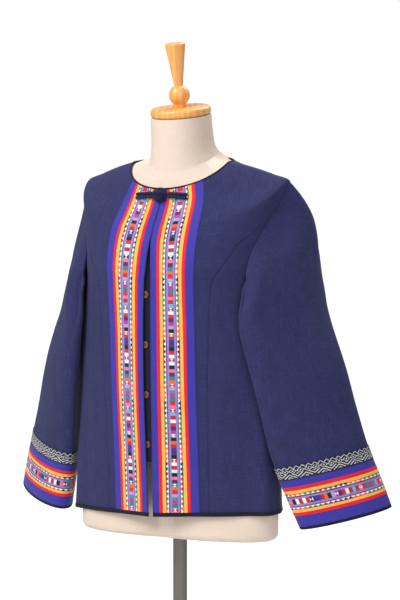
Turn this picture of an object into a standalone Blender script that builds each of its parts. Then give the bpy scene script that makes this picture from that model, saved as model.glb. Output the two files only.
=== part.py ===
"""Collarless cotton jacket with patchwork ribbons, on a limbless dress form with a round base.

Metres, +Z up, origin on the floor under the pole. The front faces -Y and the wearer's left is +X.
Every piece of cloth is a thin wall. Its outer face is a grid of points on the surface of the worn
body or of a sleeve, and its inner face is the same grid moved in along the surface's normal.
"""

import math

import bmesh
import bpy
import numpy as np

# Walls and clearances
CLOTH = 0.0015  # cotton panels
TRIM = 0.0010  # ribbons laid on the panels, and the button strip
SEAM = 0.0003  # space between two pieces that are sewn together
PROUD = 0.0003  # how far a binding stands off the cloth, on each face

# Edges and ribbons, as widths on the cloth
HEM_BINDING = 0.007
NECK_BINDING = 0.003
CUFF_BINDING = 0.005
CUFF_RIBBON = 0.083
WOVEN_RIBBON = 0.024

# The worn body, as rings from hem to neck. A ring's front and back are lower or higher than its
# sides, so that the last ring is the neckline and the ring "tip" passes the ends of the shoulders.
# "square" says how square a ring is, where 2 is an ellipse, and "point" is how far the front is
# drawn out to a soft ridge at the opening.
BODY_COLUMNS = "half_width front back centre_y z_side z_front z_back square point".split()
BODY_RINGS = {
    "hem": (0.2000, 0.0713, 0.1080, -0.009, 0.7480, 0.7480, 0.7480, 2.10, 0.0230),
    "hip": (0.1950, 0.0816, 0.1050, -0.006, 0.8500, 0.8500, 0.8500, 2.10, 0.0210),
    "waist": (0.1900, 0.0950, 0.1010, -0.003, 0.9550, 0.9550, 0.9550, 2.10, 0.0155),
    "ribs": (0.1905, 0.1071, 0.1010, 0.003, 1.0600, 1.0600, 1.0600, 2.10, 0.0115),
    "armpit": (0.1810, 0.1198, 0.1010, 0.010, 1.1550, 1.1550, 1.1550, 2.10, 0.0030),
    "bust": (0.1800, 0.1245, 0.0980, 0.014, 1.2000, 1.1750, 1.1850, 2.20, 0.0),
    "chest": (0.1840, 0.1260, 0.0940, 0.018, 1.2500, 1.1980, 1.2150, 2.20, 0.0),
    "blade": (0.1920, 0.1270, 0.0870, 0.023, 1.2900, 1.2180, 1.2450, 2.10, 0.0),
    "tip": (0.1995, 0.1230, 0.0770, 0.027, 1.3245, 1.2380, 1.2750, 2.05, 0.0),
    "shoulder": (0.1700, 0.1070, 0.0730, 0.023, 1.3370, 1.2590, 1.3050, 2.00, 0.0),
    "slope": (0.1300, 0.0830, 0.0700, 0.015, 1.3500, 1.2880, 1.3380, 2.00, 0.0),
    "neck": (0.0940, 0.0700, 0.0700, 0.007, 1.3585, 1.3125, 1.3680, 2.00, 0.0),
}
POINT_REACH, POINT_ROUND = 0.125, 0.010  # how far the ridge reaches, and how round its crest is
HEM_SKEW = 0.035  # the hem hangs a little higher on the wearer's left, by this share of the width
RING_NUMBER = {name: number for number, name in enumerate(BODY_RINGS)}
ARMPIT = float(RING_NUMBER["armpit"])
TIP = float(RING_NUMBER["tip"])
NECK = float(RING_NUMBER["neck"])

# The bust, a soft swelling of the front
BUST_X, BUST_Z, BUST_WIDE, BUST_TALL, BUST_DEEP = 0.085, 1.170, 0.050, 0.065, 0.006

# Half the space between the two front edges, one for each body ring
HALF_OPENING = (0.0045, 0.0060, 0.0072, 0.0074, 0.0065, 0.0050, 0.0035, 0.0015, 0.0006, 0.0006, 0.0006, 0.0006)

# Where the ribbon's outer edge lies, one for each body ring: it runs straight down
RIBBON_EDGE = (0.0835, 0.0835, 0.0838, 0.0840, 0.0850, 0.0860, 0.0862, 0.0862, 0.0855, 0.0825, 0.0775, 0.0690)

# The seam between the front and the side front, by ring: how far it lies from the centre line
PANEL_SEAM_LEVELS = (0.0, 1.0, 2.0, 3.0, 4.0, 5.0, 6.0)
PANEL_SEAM_X = (0.100, 0.101, 0.102, 0.103, 0.108, 0.126, 0.150)

# The armhole is an oval round the side line. Each edge goes this far forwards or back of that
# line in degrees, and more in its lower half than in its upper half.
ARMHOLE_FRONT, ARMHOLE_BACK, ARMHOLE_DROP = 22.0, 23.0, 0.92
SEAM_STEP = 6  # the step up the armhole's front edge at which the front's seam ends

# Large soft folds of the body: where they lie round the body in degrees from the centre front
# towards the wearer's left, on which ring, how far they reach along and across, and their height
FOLD_COLUMNS = "angle ring along across height".split()
BODY_FOLDS = (
    (52.0, 0.0, 1.9, 8.0, -0.0040),
    (70.0, 0.0, 2.3, 9.0, 0.0045),
    (104.0, 0.3, 2.0, 10.0, -0.0035),
    (128.0, 0.0, 2.4, 9.0, 0.0040),
    (158.0, 0.0, 2.0, 10.0, -0.0030),
    (186.0, 0.0, 2.2, 11.0, 0.0040),
    (214.0, 0.0, 1.8, 9.0, -0.0035),
    (236.0, 0.2, 2.4, 10.0, 0.0040),
    (284.0, 0.0, 2.2, 9.0, 0.0045),
    (306.0, 0.3, 2.2, 8.0, -0.0035),
)

# The left sleeve, as rings from the armhole to the cuff: the point of its outer fold, the point
# of its inner fold, and its depth from the line between them, away from the body and towards it
SLEEVE_COLUMNS = "outer_x outer_y outer_z inner_x inner_y inner_z out_depth in_depth".split()
SLEEVE_RINGS = {
    "armhole": (0.1960, 0.037, 1.3120, 0.1700, -0.035, 1.172, 0.040, 0.045),
    "cap": (0.2200, 0.072, 1.2480, 0.1610, -0.057, 1.160, 0.029, 0.032),
    "upper_arm": (0.2290, 0.084, 1.1840, 0.1600, -0.075, 1.126, 0.034, 0.018),
    "biceps": (0.2430, 0.077, 1.1180, 0.1600, -0.080, 1.081, 0.035, 0.018),
    "elbow": (0.2890, 0.064, 1.0080, 0.1815, -0.063, 0.970, 0.035, 0.029),
    "forearm": (0.3230, 0.066, 0.8980, 0.1980, -0.040, 0.862, 0.035, 0.032),
    "cuff": (0.3680, 0.085, 0.7680, 0.2380, -0.003, 0.731, 0.035, 0.035),
}
SLEEVE_TURN = math.radians(40.0)  # the inner fold starts this far forwards of the armpit
CUFF = len(SLEEVE_RINGS) - 1.0
FOREARM_TO_CUFF = 0.1405  # length of the cloth between the last two rings
CAP_FADE = 1.7  # rings over which the armhole's own outline fades into the sleeve's
CAP_EDGE = 0.25  # the ring number from which on the sleeve has left its seam
CAP_PROUD = 0.0012  # the sleeve's edge stands this far off the body's cloth round the armhole
# Least space between sleeve and body: well below the armpit, at the armpit, and above it
SLEEVE_CLEARS = (0.0090, 0.0045, 0.0016)

# Large folds of a sleeve: degrees round it from the inner fold forwards, at the ring where the
# fold starts and where it ends, half its width in degrees, and its height
SLEEVE_FOLD_COLUMNS = "angle_start angle_end ring_start ring_end across height".split()
SLEEVE_FOLDS = (
    (50.0, 34.0, 0.9, 3.6, 13.0, -0.0060),
    (84.0, 66.0, 0.7, 4.2, 15.0, 0.0045),
    (118.0, 108.0, 0.8, 3.0, 14.0, -0.0035),
    (250.0, 268.0, 1.0, 4.0, 16.0, -0.0050),
    (300.0, 318.0, 0.9, 3.4, 14.0, 0.0045),
    (22.0, 12.0, 2.0, 4.6, 12.0, 0.0030),
)

# The dress form has the body's rings with these changes, and lies inside the cloth by the wall
# and this much more, one for each body ring
FORM_CHANGED = "half_width front point".split()
FORM_CHANGES = {
    "hem": (0.1990, 0.0745, 0.0),
    "hip": (0.1940, 0.0835, 0.0),
    "waist": (0.1893, 0.1010, 0.0),
    "ribs": (0.1903, 0.1110, 0.0),
    "armpit": (0.1810, 0.1200, 0.0),
}
FORM_EASE = (0.0065, 0.0065, 0.0065, 0.0060, 0.0055, 0.0050, 0.0050, 0.0048, 0.0045, 0.0038, 0.0034, 0.0022)
FORM_FRONT_EASE = 0.0060  # more room along the centre front, for the button strip
FORM_FRONT_REACH = 0.045
FORM_BOTTOM = 0.7060
FORM_EDGE = 0.012  # rounding of its lower edge
FORM_NECK_RINGS = {
    "root": (0.0620, 0.0590, 0.0560, 0.016, 1.3680, 1.3370, 1.3850, 2.00, 0.0),
    "low": (0.0565, 0.0550, 0.0530, 0.0115, 1.3820, 1.3640, 1.3950, 2.00, 0.0),
    "middle": (0.0540, 0.0535, 0.0525, 0.0080, 1.4050, 1.3940, 1.4150, 2.00, 0.0),
    "top": (0.0529, 0.0529, 0.0529, 0.0040, 1.4377, 1.4377, 1.4377, 2.00, 0.0),
}

# Stand, neck cap and finial. The neck leans forwards, and so does all that is on it.
LEAN = math.radians(9.5)
CAP_RADIUS, CAP_THICK, CAP_ROUND = 0.0530, 0.0150, 0.0060
BALL_RADIUS, BALL_RISE, BALL_FOOT = 0.0183, 0.0205, 0.0118
STEM_RADIUS, HANDLE_RADIUS, HANDLE_LENGTH = 0.0075, 0.0175, 0.0710
POLE_RADIUS, SOCKET_DEPTH = 0.0125, 0.060
BASE_RADIUS, BASE_THICK, BASE_ROUND = 0.150, 0.012, 0.004
COLLAR_RADIUS, COLLAR_TALL = 0.021, 0.030

# Button strip behind the opening, and its buttons
STRIP_HIDDEN, STRIP_SEWN = 0.019, 0.021  # how far it reaches to each side of the centre
STRIP_SINK, STRIP_BEND = 0.0030, 0.010
STRIP_FROM, STRIP_TO = 0.92, 8.6  # body rings
BUTTON_HEIGHTS = (0.873, 0.959, 1.045, 1.131)
BUTTON_X, BUTTON_RADIUS, BUTTON_THICK = -0.0052, 0.0060, 0.0021

# Corded fastening at the neck
CORD_RADIUS, CORD_APART = 0.0023, 0.0052
FROG_Z, FROG_REACH, FROG_DROOP = 1.3005, 0.046, 0.003
KNOT_RADIUS, KNOT_LIFT, LOOP_RADIUS = 0.0090, 0.0114, 0.0093

# Grids
RIBBON_COLUMNS, FRONT_COLUMNS, SIDE_COLUMNS, BACK_COLUMNS = 4, 5, 4, 18
LOWER_ROWS, ARMHOLE_STEPS, UPPER_ROWS = 10, 10, 5
SLEEVE_ROWS = 14  # a sleeve has two columns for each of the armhole's steps
FORM_COLUMNS = 28

COLOURS = {
    "navy_cotton": ((0.040, 0.042, 0.120), 0.85, 0.0),
    "binding": ((0.020, 0.022, 0.055), 0.80, 0.0),
    "patchwork": ((0.160, 0.090, 0.420), 0.75, 0.0),
    "woven_trim": ((0.300, 0.310, 0.340), 0.80, 0.0),
    "coconut": ((0.210, 0.100, 0.050), 0.40, 0.0),
    "linen": ((0.720, 0.620, 0.520), 0.90, 0.0),
    "beech": ((0.780, 0.480, 0.200), 0.45, 0.0),
    "steel": ((0.420, 0.400, 0.390), 0.35, 1.0),
}


def clear_scene():
    for thing in list(bpy.data.objects):
        bpy.data.objects.remove(thing)


def material(name):
    found = bpy.data.materials.get(name)
    if found:
        return found
    colour, roughness, metallic = COLOURS[name]
    made = bpy.data.materials.new(name)
    made.use_nodes = True
    shader = made.node_tree.nodes["Principled BSDF"]
    shader.inputs["Base Color"].default_value = (*colour, 1.0)
    shader.inputs["Roughness"].default_value = roughness
    shader.inputs["Metallic"].default_value = metallic
    return made


def smooth(values, at):
    """A monotone cubic curve through values, one for each whole number, read at the numbers in at."""
    values = np.asarray(values, float)
    at = np.clip(np.asarray(at, float), 0, len(values) - 1)
    steps = np.diff(values)
    product = steps[:-1] * steps[1:]
    total = np.where(product > 0, steps[:-1] + steps[1:], 1.0)
    slopes = np.concatenate([steps[:1], np.where(product > 0, 2 * product / total, 0.0), steps[-1:]])
    low = np.minimum(at.astype(int), len(values) - 2)
    t = at - low
    start, end = values[low], values[low + 1]
    return (
        start * (1 + 2 * t) * (1 - t) ** 2
        + slopes[low] * t * (1 - t) ** 2
        + end * t * t * (3 - 2 * t)
        + slopes[low + 1] * t * t * (t - 1)
    )


def read_table(rings, columns, at):
    """The columns of a table of rings, each read at the ring numbers in at."""
    rows = np.array(list(rings.values()))
    return {name: smooth(rows[:, number], at) for number, name in enumerate(columns)}


def unit(vectors):
    return vectors / np.maximum(np.linalg.norm(vectors, axis=-1, keepdims=True), 1e-12)


def ease_in(t):
    """0 below t = 0, 1 above t = 1, and a smooth rise between."""
    t = np.clip(t, 0, 1)
    return t * t * (3 - 2 * t)


def ring_height(ring, ahead):
    """The height of a ring, from 1 at the centre front over 0 at the side to -1 at the back."""
    rise = np.where(ahead > 0, ring["z_front"], ring["z_back"]) - ring["z_side"]
    soft = 0.1
    share = (np.sqrt(ahead**2 + soft**2) - soft) / (math.sqrt(1 + soft**2) - soft)
    return ring["z_side"] + rise * share


def ring_point(ring, angle):
    """A point of a superelliptic ring, at an angle from the centre front towards the wearer's left."""
    across, ahead = np.sin(angle), np.cos(angle)
    power = ring["square"]
    spread = (np.abs(across) ** power + np.abs(ahead) ** power) ** (-1 / power)
    depth = np.where(ahead > 0, ring["front"], ring["back"])
    x = ring["half_width"] * across * spread
    y = ring["centre_y"] - depth * ahead * spread
    off = np.sqrt(x**2 + POINT_ROUND**2) - POINT_ROUND
    y = y - ring["point"] * np.clip(1 - off / POINT_REACH, 0, 1) ** 2 * (ahead > 0)
    return np.stack([x, y, ring_height(ring, ahead)], axis=-1)


def body_point(angle, level, rings=None):
    """A point of the worn body's surface, at an angle round it and a ring number."""
    angle, level = np.broadcast_arrays(np.asarray(angle, float), np.asarray(level, float))
    point = ring_point(read_table(rings or BODY_RINGS, BODY_COLUMNS, level), angle)
    x, z = point[..., 0], point[..., 2]
    if rings is None:
        point[..., 2] += HEM_SKEW * x * ease_in(1 - level)
    swell = np.exp(-(((np.abs(x) - BUST_X) / BUST_WIDE) ** 2) - ((z - BUST_Z) / BUST_TALL) ** 2)
    point[..., 1] -= BUST_DEEP * swell * (np.cos(angle) > 0) * np.abs(np.cos(angle))
    return point


def body_normal(angle, level, rings=None):
    """The outward normal of the worn body's surface, from small differences."""
    step = 1e-3
    across = body_point(angle + step, level, rings) - body_point(angle - step, level, rings)
    up = body_point(angle, level + step, rings) - body_point(angle, level - step, rings)
    return unit(np.cross(across, up))


def body_folds(angle, level):
    """How far the cloth stands off the body's surface at its soft folds."""
    height = np.zeros(np.broadcast(angle, level).shape)
    for row in BODY_FOLDS:
        fold = dict(zip(FOLD_COLUMNS, row))
        turn = (np.degrees(angle) - fold["angle"] + 180) % 360 - 180
        away = (turn / fold["across"]) ** 2 + ((level - fold["ring"]) / fold["along"]) ** 2
        height += fold["height"] * np.exp(-away)
    return height


def on_body(angle, level, lift):
    """Points on the body's cloth, moved out by lift from the outer face of its panels."""
    off = body_folds(angle, level) + lift
    return body_point(angle, level) + body_normal(angle, level) * off[..., None]


def angle_of_x(x, level):
    """The angle on the front at which a ring is x from the centre line."""
    ring = read_table(BODY_RINGS, BODY_COLUMNS, level)
    power = ring["square"]
    share = np.clip(np.abs(x) / ring["half_width"], 0, 0.999) ** power
    return np.sign(x) * np.arctan((share / (1 - share)) ** (1 / power))


def armhole(turn, size=1.0):
    """(angle, level) round the left armhole: turn is 0 at the armpit and 90 degrees at the front."""
    half = (TIP - ARMPIT) / 2
    reach = np.radians(np.where(np.sin(turn) > 0, ARMHOLE_FRONT, ARMHOLE_BACK))
    reach = reach * np.sin(turn) * (1 + ARMHOLE_DROP * np.cos(turn))
    return math.pi / 2 - size * reach, ARMPIT + half * (1 - size * np.cos(turn))


def armhole_edge(level, forwards):
    """The angle of the armhole's front or back edge at a ring number between armpit and tip."""
    half = (TIP - ARMPIT) / 2
    turn = np.arccos(np.clip((ARMPIT + half - level) / half, -1, 1))
    return armhole(turn if forwards else -turn)[0]


def armhole_level(step):
    """The ring number at one of the steps up the armhole's edge."""
    return float(armhole(math.pi * step / ARMHOLE_STEPS)[1])


def panel_seam(level):
    """The angle of the seam between front and side front, which ends on the armhole."""
    end = armhole_level(SEAM_STEP)
    end_x = float(body_point(armhole_edge(end, True), end)[0])
    x = np.interp(level, (*PANEL_SEAM_LEVELS, end), (*PANEL_SEAM_X, end_x))
    return angle_of_x(x, level)


def cloth_levels():
    """The ring numbers of the panels' rows, from the hem's binding to the neckline."""
    bottom = HEM_BINDING_LEVEL + level_step(0.0, 0.0, SEAM)
    lower = np.linspace(bottom, ARMPIT, LOWER_ROWS)
    middle = [armhole_level(step) for step in range(1, ARMHOLE_STEPS + 1)]
    upper = np.linspace(TIP, NECK, UPPER_ROWS + 1)[1:]
    return np.concatenate([lower, middle, upper])


def level_step(angle, level, distance):
    """The change of ring number that crosses a distance on the cloth."""
    small = 0.02
    near = level - small if level > 1 else level + small
    length = np.linalg.norm(body_point(angle, level) - body_point(angle, near), axis=-1)
    return distance * small / length


def neck_level(angle, distance):
    """The ring number that lies a distance below the neckline."""
    return NECK - level_step(angle, NECK, distance)


HEM_BINDING_LEVEL = float(level_step(0.0, 0.0, HEM_BINDING))


def angle_step(angle, level, distance):
    """The change of angle that crosses a distance on the cloth."""
    small = 1e-3
    length = np.linalg.norm(body_point(angle + small, level) - body_point(angle, level), axis=-1)
    return distance * small / length


def front_edge(level):
    return angle_of_x(smooth(HALF_OPENING, level), level)


def side_edge(level, forwards):
    """The outer edge of a front or of the back: side seam, armhole, then shoulder seam."""
    half_seam = angle_step(math.pi / 2, level, SEAM / 2)
    towards = -half_seam if forwards else half_seam
    in_armhole = (level > ARMPIT) & (level < TIP)
    return np.where(in_armhole, armhole_edge(level, forwards), math.pi / 2) + towards


def ribbon_angles(levels):
    """Angles of the ribbon's columns, which run straight down the front from the neckline."""
    shares = np.linspace(0, 1, RIBBON_COLUMNS + 1)
    start = smooth(HALF_OPENING, levels)[:, None]
    width = smooth(RIBBON_EDGE, levels)[:, None] - start
    return angle_of_x(start + width * shares, levels[:, None])


def to_neck(angles, levels, distance):
    """Row levels as a grid, with the last row a distance below the neckline."""
    grid = np.repeat(levels[:, None], angles.shape[1], axis=1)
    grid[-1] = neck_level(angles[-1], distance)
    return grid


def triangles_between(rows, columns, closed):
    """Triangles of a grid, with the same diagonal in each cell, so that layers don't cross."""
    column = np.arange(columns if closed else columns - 1)
    row = np.arange(rows - 1)[:, None]
    a = row * columns + column
    b = row * columns + (column + 1) % columns
    c, d = a + columns, b + columns
    return np.concatenate([np.stack([a, b, d], -1).reshape(-1, 3), np.stack([a, d, c], -1).reshape(-1, 3)])


def add_object(name, points, faces, look):
    """A closed mesh as an object, with its faces pointing out."""
    mesh = bpy.data.meshes.new(name)
    mesh.from_pydata([tuple(map(float, p)) for p in points], [], [tuple(map(int, f)) for f in faces])
    made = bmesh.new()
    made.from_mesh(mesh)
    bmesh.ops.recalc_face_normals(made, faces=made.faces)
    made.to_mesh(mesh)
    made.free()
    mesh.shade_smooth()
    mesh.set_sharp_from_angle(angle=math.radians(40))
    mesh.materials.append(material(look))
    thing = bpy.data.objects.new(name, mesh)
    bpy.context.scene.collection.objects.link(thing)
    return thing


def add_wall(name, outer, inner, look, closed=False):
    """A wall between two grids of points. A closed grid goes round a tube."""
    rows, columns = outer.shape[:2]
    count = rows * columns
    skin = triangles_between(rows, columns, closed)
    faces = [skin, skin[:, ::-1] + count]
    rim = np.arange(columns)
    loops = [rim, rim + (rows - 1) * columns]
    if closed:
        loops = [np.append(loop, loop[0]) for loop in loops]
    else:
        side = np.arange(rows) * columns
        loops += [side, side + columns - 1]
    for loop in loops:
        a, b = loop[:-1], loop[1:]
        faces.append(np.stack([a, b, b + count], -1))
        faces.append(np.stack([a, b + count, a + count], -1))
    points = np.concatenate([outer.reshape(-1, 3), inner.reshape(-1, 3)])
    return add_object(name, points, np.concatenate(faces), look)


def add_skin(name, grid, look):
    """A closed body from rings of points, with its first and last ring filled from their middles."""
    rows, columns = grid.shape[:2]
    points = np.concatenate([grid.reshape(-1, 3), [grid[0].mean(0), grid[-1].mean(0)]])
    ring = np.arange(columns)
    after = (ring + 1) % columns
    first, last = rows * columns, rows * columns + 1
    start = (rows - 1) * columns
    caps = [np.stack([after, ring, np.full(columns, first)], -1)]
    caps.append(np.stack([ring + start, after + start, np.full(columns, last)], -1))
    return add_object(name, points, np.concatenate([triangles_between(rows, columns, True), *caps]), look)


def mirrored(points, side):
    """The points for the wearer's left (side 1), or mirrored to the right (side -1)."""
    return points * np.array([side, 1.0, 1.0])


def body_panel(name, angles, levels, side, look, lifts):
    """A wall on the body between two lifts from the panels' outer face."""
    turned = angles * side
    outer, inner = (on_body(turned, levels, lift) for lift in lifts)
    return add_wall(name, outer, inner, look)


def front_grid():
    """Angles of the left front's grid, from its opening to its seams, with the ribbon's columns."""
    levels = cloth_levels()
    ribbon = ribbon_angles(levels)
    seam = panel_seam(levels)
    beside_seam = seam - angle_step(seam, levels, SEAM / 2)
    end = armhole_level(SEAM_STEP)
    # On the row where the seam ends, the side front is still a sliver as wide as two seams.
    sliver = side_edge(levels, True) - angle_step(seam, levels, 3 * SEAM)
    edge = np.where(levels < end - 0.01, beside_seam, side_edge(levels, True))
    edge = np.where(np.abs(levels - end) < 0.01, sliver, edge)
    beyond = np.linspace(0, 1, FRONT_COLUMNS + 1)[1:]
    rest = ribbon[:, -1:] + (edge[:, None] - ribbon[:, -1:]) * beyond
    return np.concatenate([ribbon, rest], axis=1), levels


def side_grid():
    """Angles of the left side front's grid, from the panel seam to the side seam and armhole."""
    levels = cloth_levels()
    end = armhole_level(SEAM_STEP)
    levels = levels[levels < end + 0.01]
    seam = panel_seam(levels)
    start = seam + angle_step(seam, levels, SEAM / 2)
    edge = side_edge(levels, True)
    start[-1] = edge[-1] - angle_step(edge[-1], levels[-1], 2 * SEAM)
    shares = np.linspace(0, 1, SIDE_COLUMNS + 1)
    return start[:, None] + (edge - start)[:, None] * shares, levels


def back_grid():
    """Angles of the back's grid, from the left side seam round to the right one."""
    levels = cloth_levels()
    left = side_edge(levels, False)
    shares = np.linspace(0, 1, BACK_COLUMNS + 1)
    return left[:, None] + (2 * math.pi - 2 * left)[:, None] * shares, levels


def front_panels(side, word):
    """The front with its ribbon, and the side front, of one side."""
    angles, levels = front_grid()
    rows = to_neck(angles, levels, NECK_BINDING + SEAM)
    body_panel(f"front_{word}", angles, rows, side, "navy_cotton", (0.0, -CLOTH))
    ribbon = slice(0, RIBBON_COLUMNS + 1)
    lifts = (SEAM + TRIM, SEAM)
    body_panel(f"front_ribbon_{word}", angles[:, ribbon], rows[:, ribbon], side, "patchwork", lifts)
    angles, levels = side_grid()
    rows = np.repeat(levels[:, None], angles.shape[1], axis=1)
    body_panel(f"side_front_{word}", angles, rows, side, "navy_cotton", (0.0, -CLOTH))


def back_panel():
    """The back in one piece, from side seam to side seam and up to both shoulder seams."""
    angles, levels = back_grid()
    rows = to_neck(angles, levels, NECK_BINDING + SEAM)
    body_panel("back", angles, rows, 1, "navy_cotton", (0.0, -CLOTH))


def round_from_front(rows):
    """Angles all round the body, from the left front edge to the right, on the panels' columns."""
    left = np.concatenate([row[:-1] for row in rows[:-1]])
    back = rows[-1]
    return np.concatenate([left, back, 2 * math.pi - left[::-1]])


def bindings():
    """The dark strips that finish the hem and the neckline."""
    lifts = (PROUD, -CLOTH - PROUD)
    front, side, back = front_grid()[0], side_grid()[0], back_grid()[0]
    around = round_from_front([front[0], side[0], back[0]])
    angles = np.repeat(around[None, :], 2, axis=0)
    levels = np.repeat(np.array([[0.0], [HEM_BINDING_LEVEL]]), len(around), axis=1)
    body_panel("hem_binding", angles, levels, 1, "binding", lifts)
    around = round_from_front([front[-1], back[-1]])
    angles = np.repeat(around[None, :], 2, axis=0)
    levels = np.stack([neck_level(around, NECK_BINDING), np.full(len(around), NECK)])
    body_panel("neck_binding", angles, levels, 1, "binding", lifts)


def sleeve_rings(turn, level):
    """A point on the sleeve's ovals: turn is 0 at the inner fold and 90 degrees away from the body."""
    ring = read_table(SLEEVE_RINGS, SLEEVE_COLUMNS, level)
    outer = np.stack([ring["outer_x"], ring["outer_y"], ring["outer_z"]], -1)
    inner = np.stack([ring["inner_x"], ring["inner_y"], ring["inner_z"]], -1)
    half = (outer - inner) / 2
    centre = (outer + inner) / 2
    small = 0.05
    ends = [read_table(SLEEVE_RINGS, SLEEVE_COLUMNS, level + move) for move in (-small, small)]
    before, after = (
        np.stack([(end["outer_" + axis] + end["inner_" + axis]) / 2 for axis in "xyz"], -1) for end in ends
    )
    ahead = unit(np.cross(after - before, half))
    depth = np.where(np.sin(turn) > 0, ring["out_depth"], ring["in_depth"])[..., None]
    return centre - half * np.cos(turn)[..., None] + ahead * depth * np.sin(turn)[..., None]


def clear_of_body(point, level):
    """Sleeve points moved out from the body's cloth where they come too near."""
    x, height = np.abs(point[..., 0]), point[..., 2]
    low, high = np.zeros(x.shape), np.full(x.shape, TIP)
    for _ in range(24):
        middle = (low + high) / 2
        ring = read_table(BODY_RINGS, BODY_COLUMNS, middle)
        y = point[..., 1] - ring["centre_y"]
        depth = np.where(y < 0, ring["front"], ring["back"])
        across, ahead = x / ring["half_width"], -y / depth
        under = ring_height(ring, ahead / np.hypot(across, ahead)) < height
        low, high = np.where(under, middle, low), np.where(under, high, middle)
    power = ring["square"]
    size = (across**power + np.abs(ahead) ** power) ** (1 / power)
    from_axis = np.hypot(x, y)
    space = from_axis * (1 - 1 / size)
    armpit = BODY_RINGS["armpit"][BODY_COLUMNS.index("z_side")]
    least = np.interp(height, (armpit - 0.080, armpit - 0.010, armpit + 0.020), SLEEVE_CLEARS)
    soft = 0.003
    wanted = least + soft * np.logaddexp(0, (space - least) / soft)
    reached = ease_in(level / 0.6) * ease_in((BODY_RINGS["blade"][4] - height) / 0.050)
    move = (wanted - space) * reached / from_axis
    return point + np.stack([point[..., 0] * move, y * move, 0 * x], -1)


def sleeve_point(turn, level):
    """A point of the left sleeve's surface, which starts on the armhole's own outline."""
    turn, level = np.broadcast_arrays(np.asarray(turn, float), np.asarray(level, float))
    # The sleeve is sewn in just inside the armhole, which is about 170 mm tall.
    angle, body_level = armhole(turn, 1 - 2.0 * SEAM / 0.085)
    start = body_point(angle, body_level) + body_normal(angle, body_level) * CAP_PROUD
    fade = 1 - ease_in(level / CAP_FADE)
    own = turn - SLEEVE_TURN
    shift = start - sleeve_rings(own, np.zeros_like(level))
    return clear_of_body(sleeve_rings(own, level) + shift * fade[..., None], level)


def sleeve_normal(turn, level):
    """The outward normal of the sleeve's surface. At its very edge it is that of the cloth beside."""
    step = 1e-3
    level = np.maximum(level, CAP_EDGE)
    around = sleeve_point(turn + step, level) - sleeve_point(turn - step, level)
    along = sleeve_point(turn, level + step) - sleeve_point(turn, level - step)
    return unit(np.cross(along, around))


def sleeve_folds(turn, level):
    """How far the sleeve's cloth stands off its plain shape."""
    height = np.zeros(np.broadcast(turn, level).shape)
    for row in SLEEVE_FOLDS:
        fold = dict(zip(SLEEVE_FOLD_COLUMNS, row))
        share = (level - fold["ring_start"]) / (fold["ring_end"] - fold["ring_start"])
        angle = fold["angle_start"] + (fold["angle_end"] - fold["angle_start"]) * np.clip(share, 0, 1)
        away = ((np.degrees(turn) - angle + 180) % 360 - 180) / fold["across"]
        along = ease_in(share * 3 + 0.3) * ease_in((1 - share) * 1.6)
        height += fold["height"] * np.exp(-(away**2)) * along
    return height


def on_sleeve(turn, level, lift):
    off = sleeve_folds(turn, level) + lift
    return sleeve_point(turn, level) + sleeve_normal(turn, level) * off[..., None]


def sleeve_level(distance):
    """The ring number a distance up the sleeve from the cuff."""
    return CUFF - distance / FOREARM_TO_CUFF


def sleeve_wall(name, levels, side, look, lifts):
    around = np.arange(2 * ARMHOLE_STEPS) * math.pi / ARMHOLE_STEPS
    turn, level = np.meshgrid(around, levels)
    outer, inner = (mirrored(on_sleeve(turn, level, lift), side) for lift in lifts)
    return add_wall(name, outer, inner, look, closed=True)


def sleeves(side, word):
    """A sleeve, the binding at its cuff, and the two ribbons laid round it."""
    cloth_end = sleeve_level(CUFF_BINDING + SEAM)
    ribbon = np.linspace(sleeve_level(CUFF_BINDING + SEAM + CUFF_RIBBON), cloth_end, 4)
    woven_end = ribbon[0] - SEAM / FOREARM_TO_CUFF
    woven = np.linspace(woven_end - WOVEN_RIBBON / FOREARM_TO_CUFF, woven_end, 2)
    upper = np.linspace(0, 1, SLEEVE_ROWS + 1)[:-1] ** 0.9 * woven[0]
    levels = np.concatenate([upper, woven, ribbon[:1], ribbon[1:]])
    sleeve_wall(f"sleeve_{word}", levels, side, "navy_cotton", (0.0, -CLOTH))
    sleeve_wall(f"cuff_ribbon_{word}", ribbon, side, "patchwork", (SEAM + TRIM, SEAM))
    sleeve_wall(f"cuff_woven_{word}", woven, side, "woven_trim", (SEAM + TRIM, SEAM))
    edge = np.array([sleeve_level(CUFF_BINDING), CUFF])
    sleeve_wall(f"cuff_binding_{word}", edge, side, "binding", (PROUD, -CLOTH - PROUD))


def level_at(x, height):
    """The ring number at which the front, x from the centre line, has this height."""
    x, height = np.broadcast_arrays(np.asarray(x, float), np.asarray(height, float))
    low, high = np.zeros(x.shape), np.full(x.shape, NECK)
    for _ in range(40):
        middle = (low + high) / 2
        under = body_point(angle_of_x(x, middle), middle)[..., 2] < height
        low, high = np.where(under, middle, low), np.where(under, high, middle)
    return (low + high) / 2


def on_front(x, height, lift):
    """Points on the front at x and height, moved out by lift from the panels' outer face."""
    level = level_at(x, height)
    return on_body(angle_of_x(x, level), level, np.asarray(lift, float) + np.zeros(level.shape))


def strip_lift(x):
    """The button strip's front face: sewn behind the left front, and sunk behind the right."""
    return -CLOTH - SEAM - STRIP_SINK * ease_in((STRIP_BEND - x) / STRIP_BEND)


def button_strip():
    across = np.array([-STRIP_HIDDEN, -0.5 * STRIP_HIDDEN, 0.001, STRIP_BEND, STRIP_SEWN])
    levels = np.linspace(STRIP_FROM, STRIP_TO, 14)
    x, level = np.meshgrid(across, levels)
    angle, lift = angle_of_x(x, level), strip_lift(x)
    outer = on_body(angle, level, lift)
    inner = on_body(angle, level, lift - TRIM)
    add_wall("button_strip", outer, inner, "binding")


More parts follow.
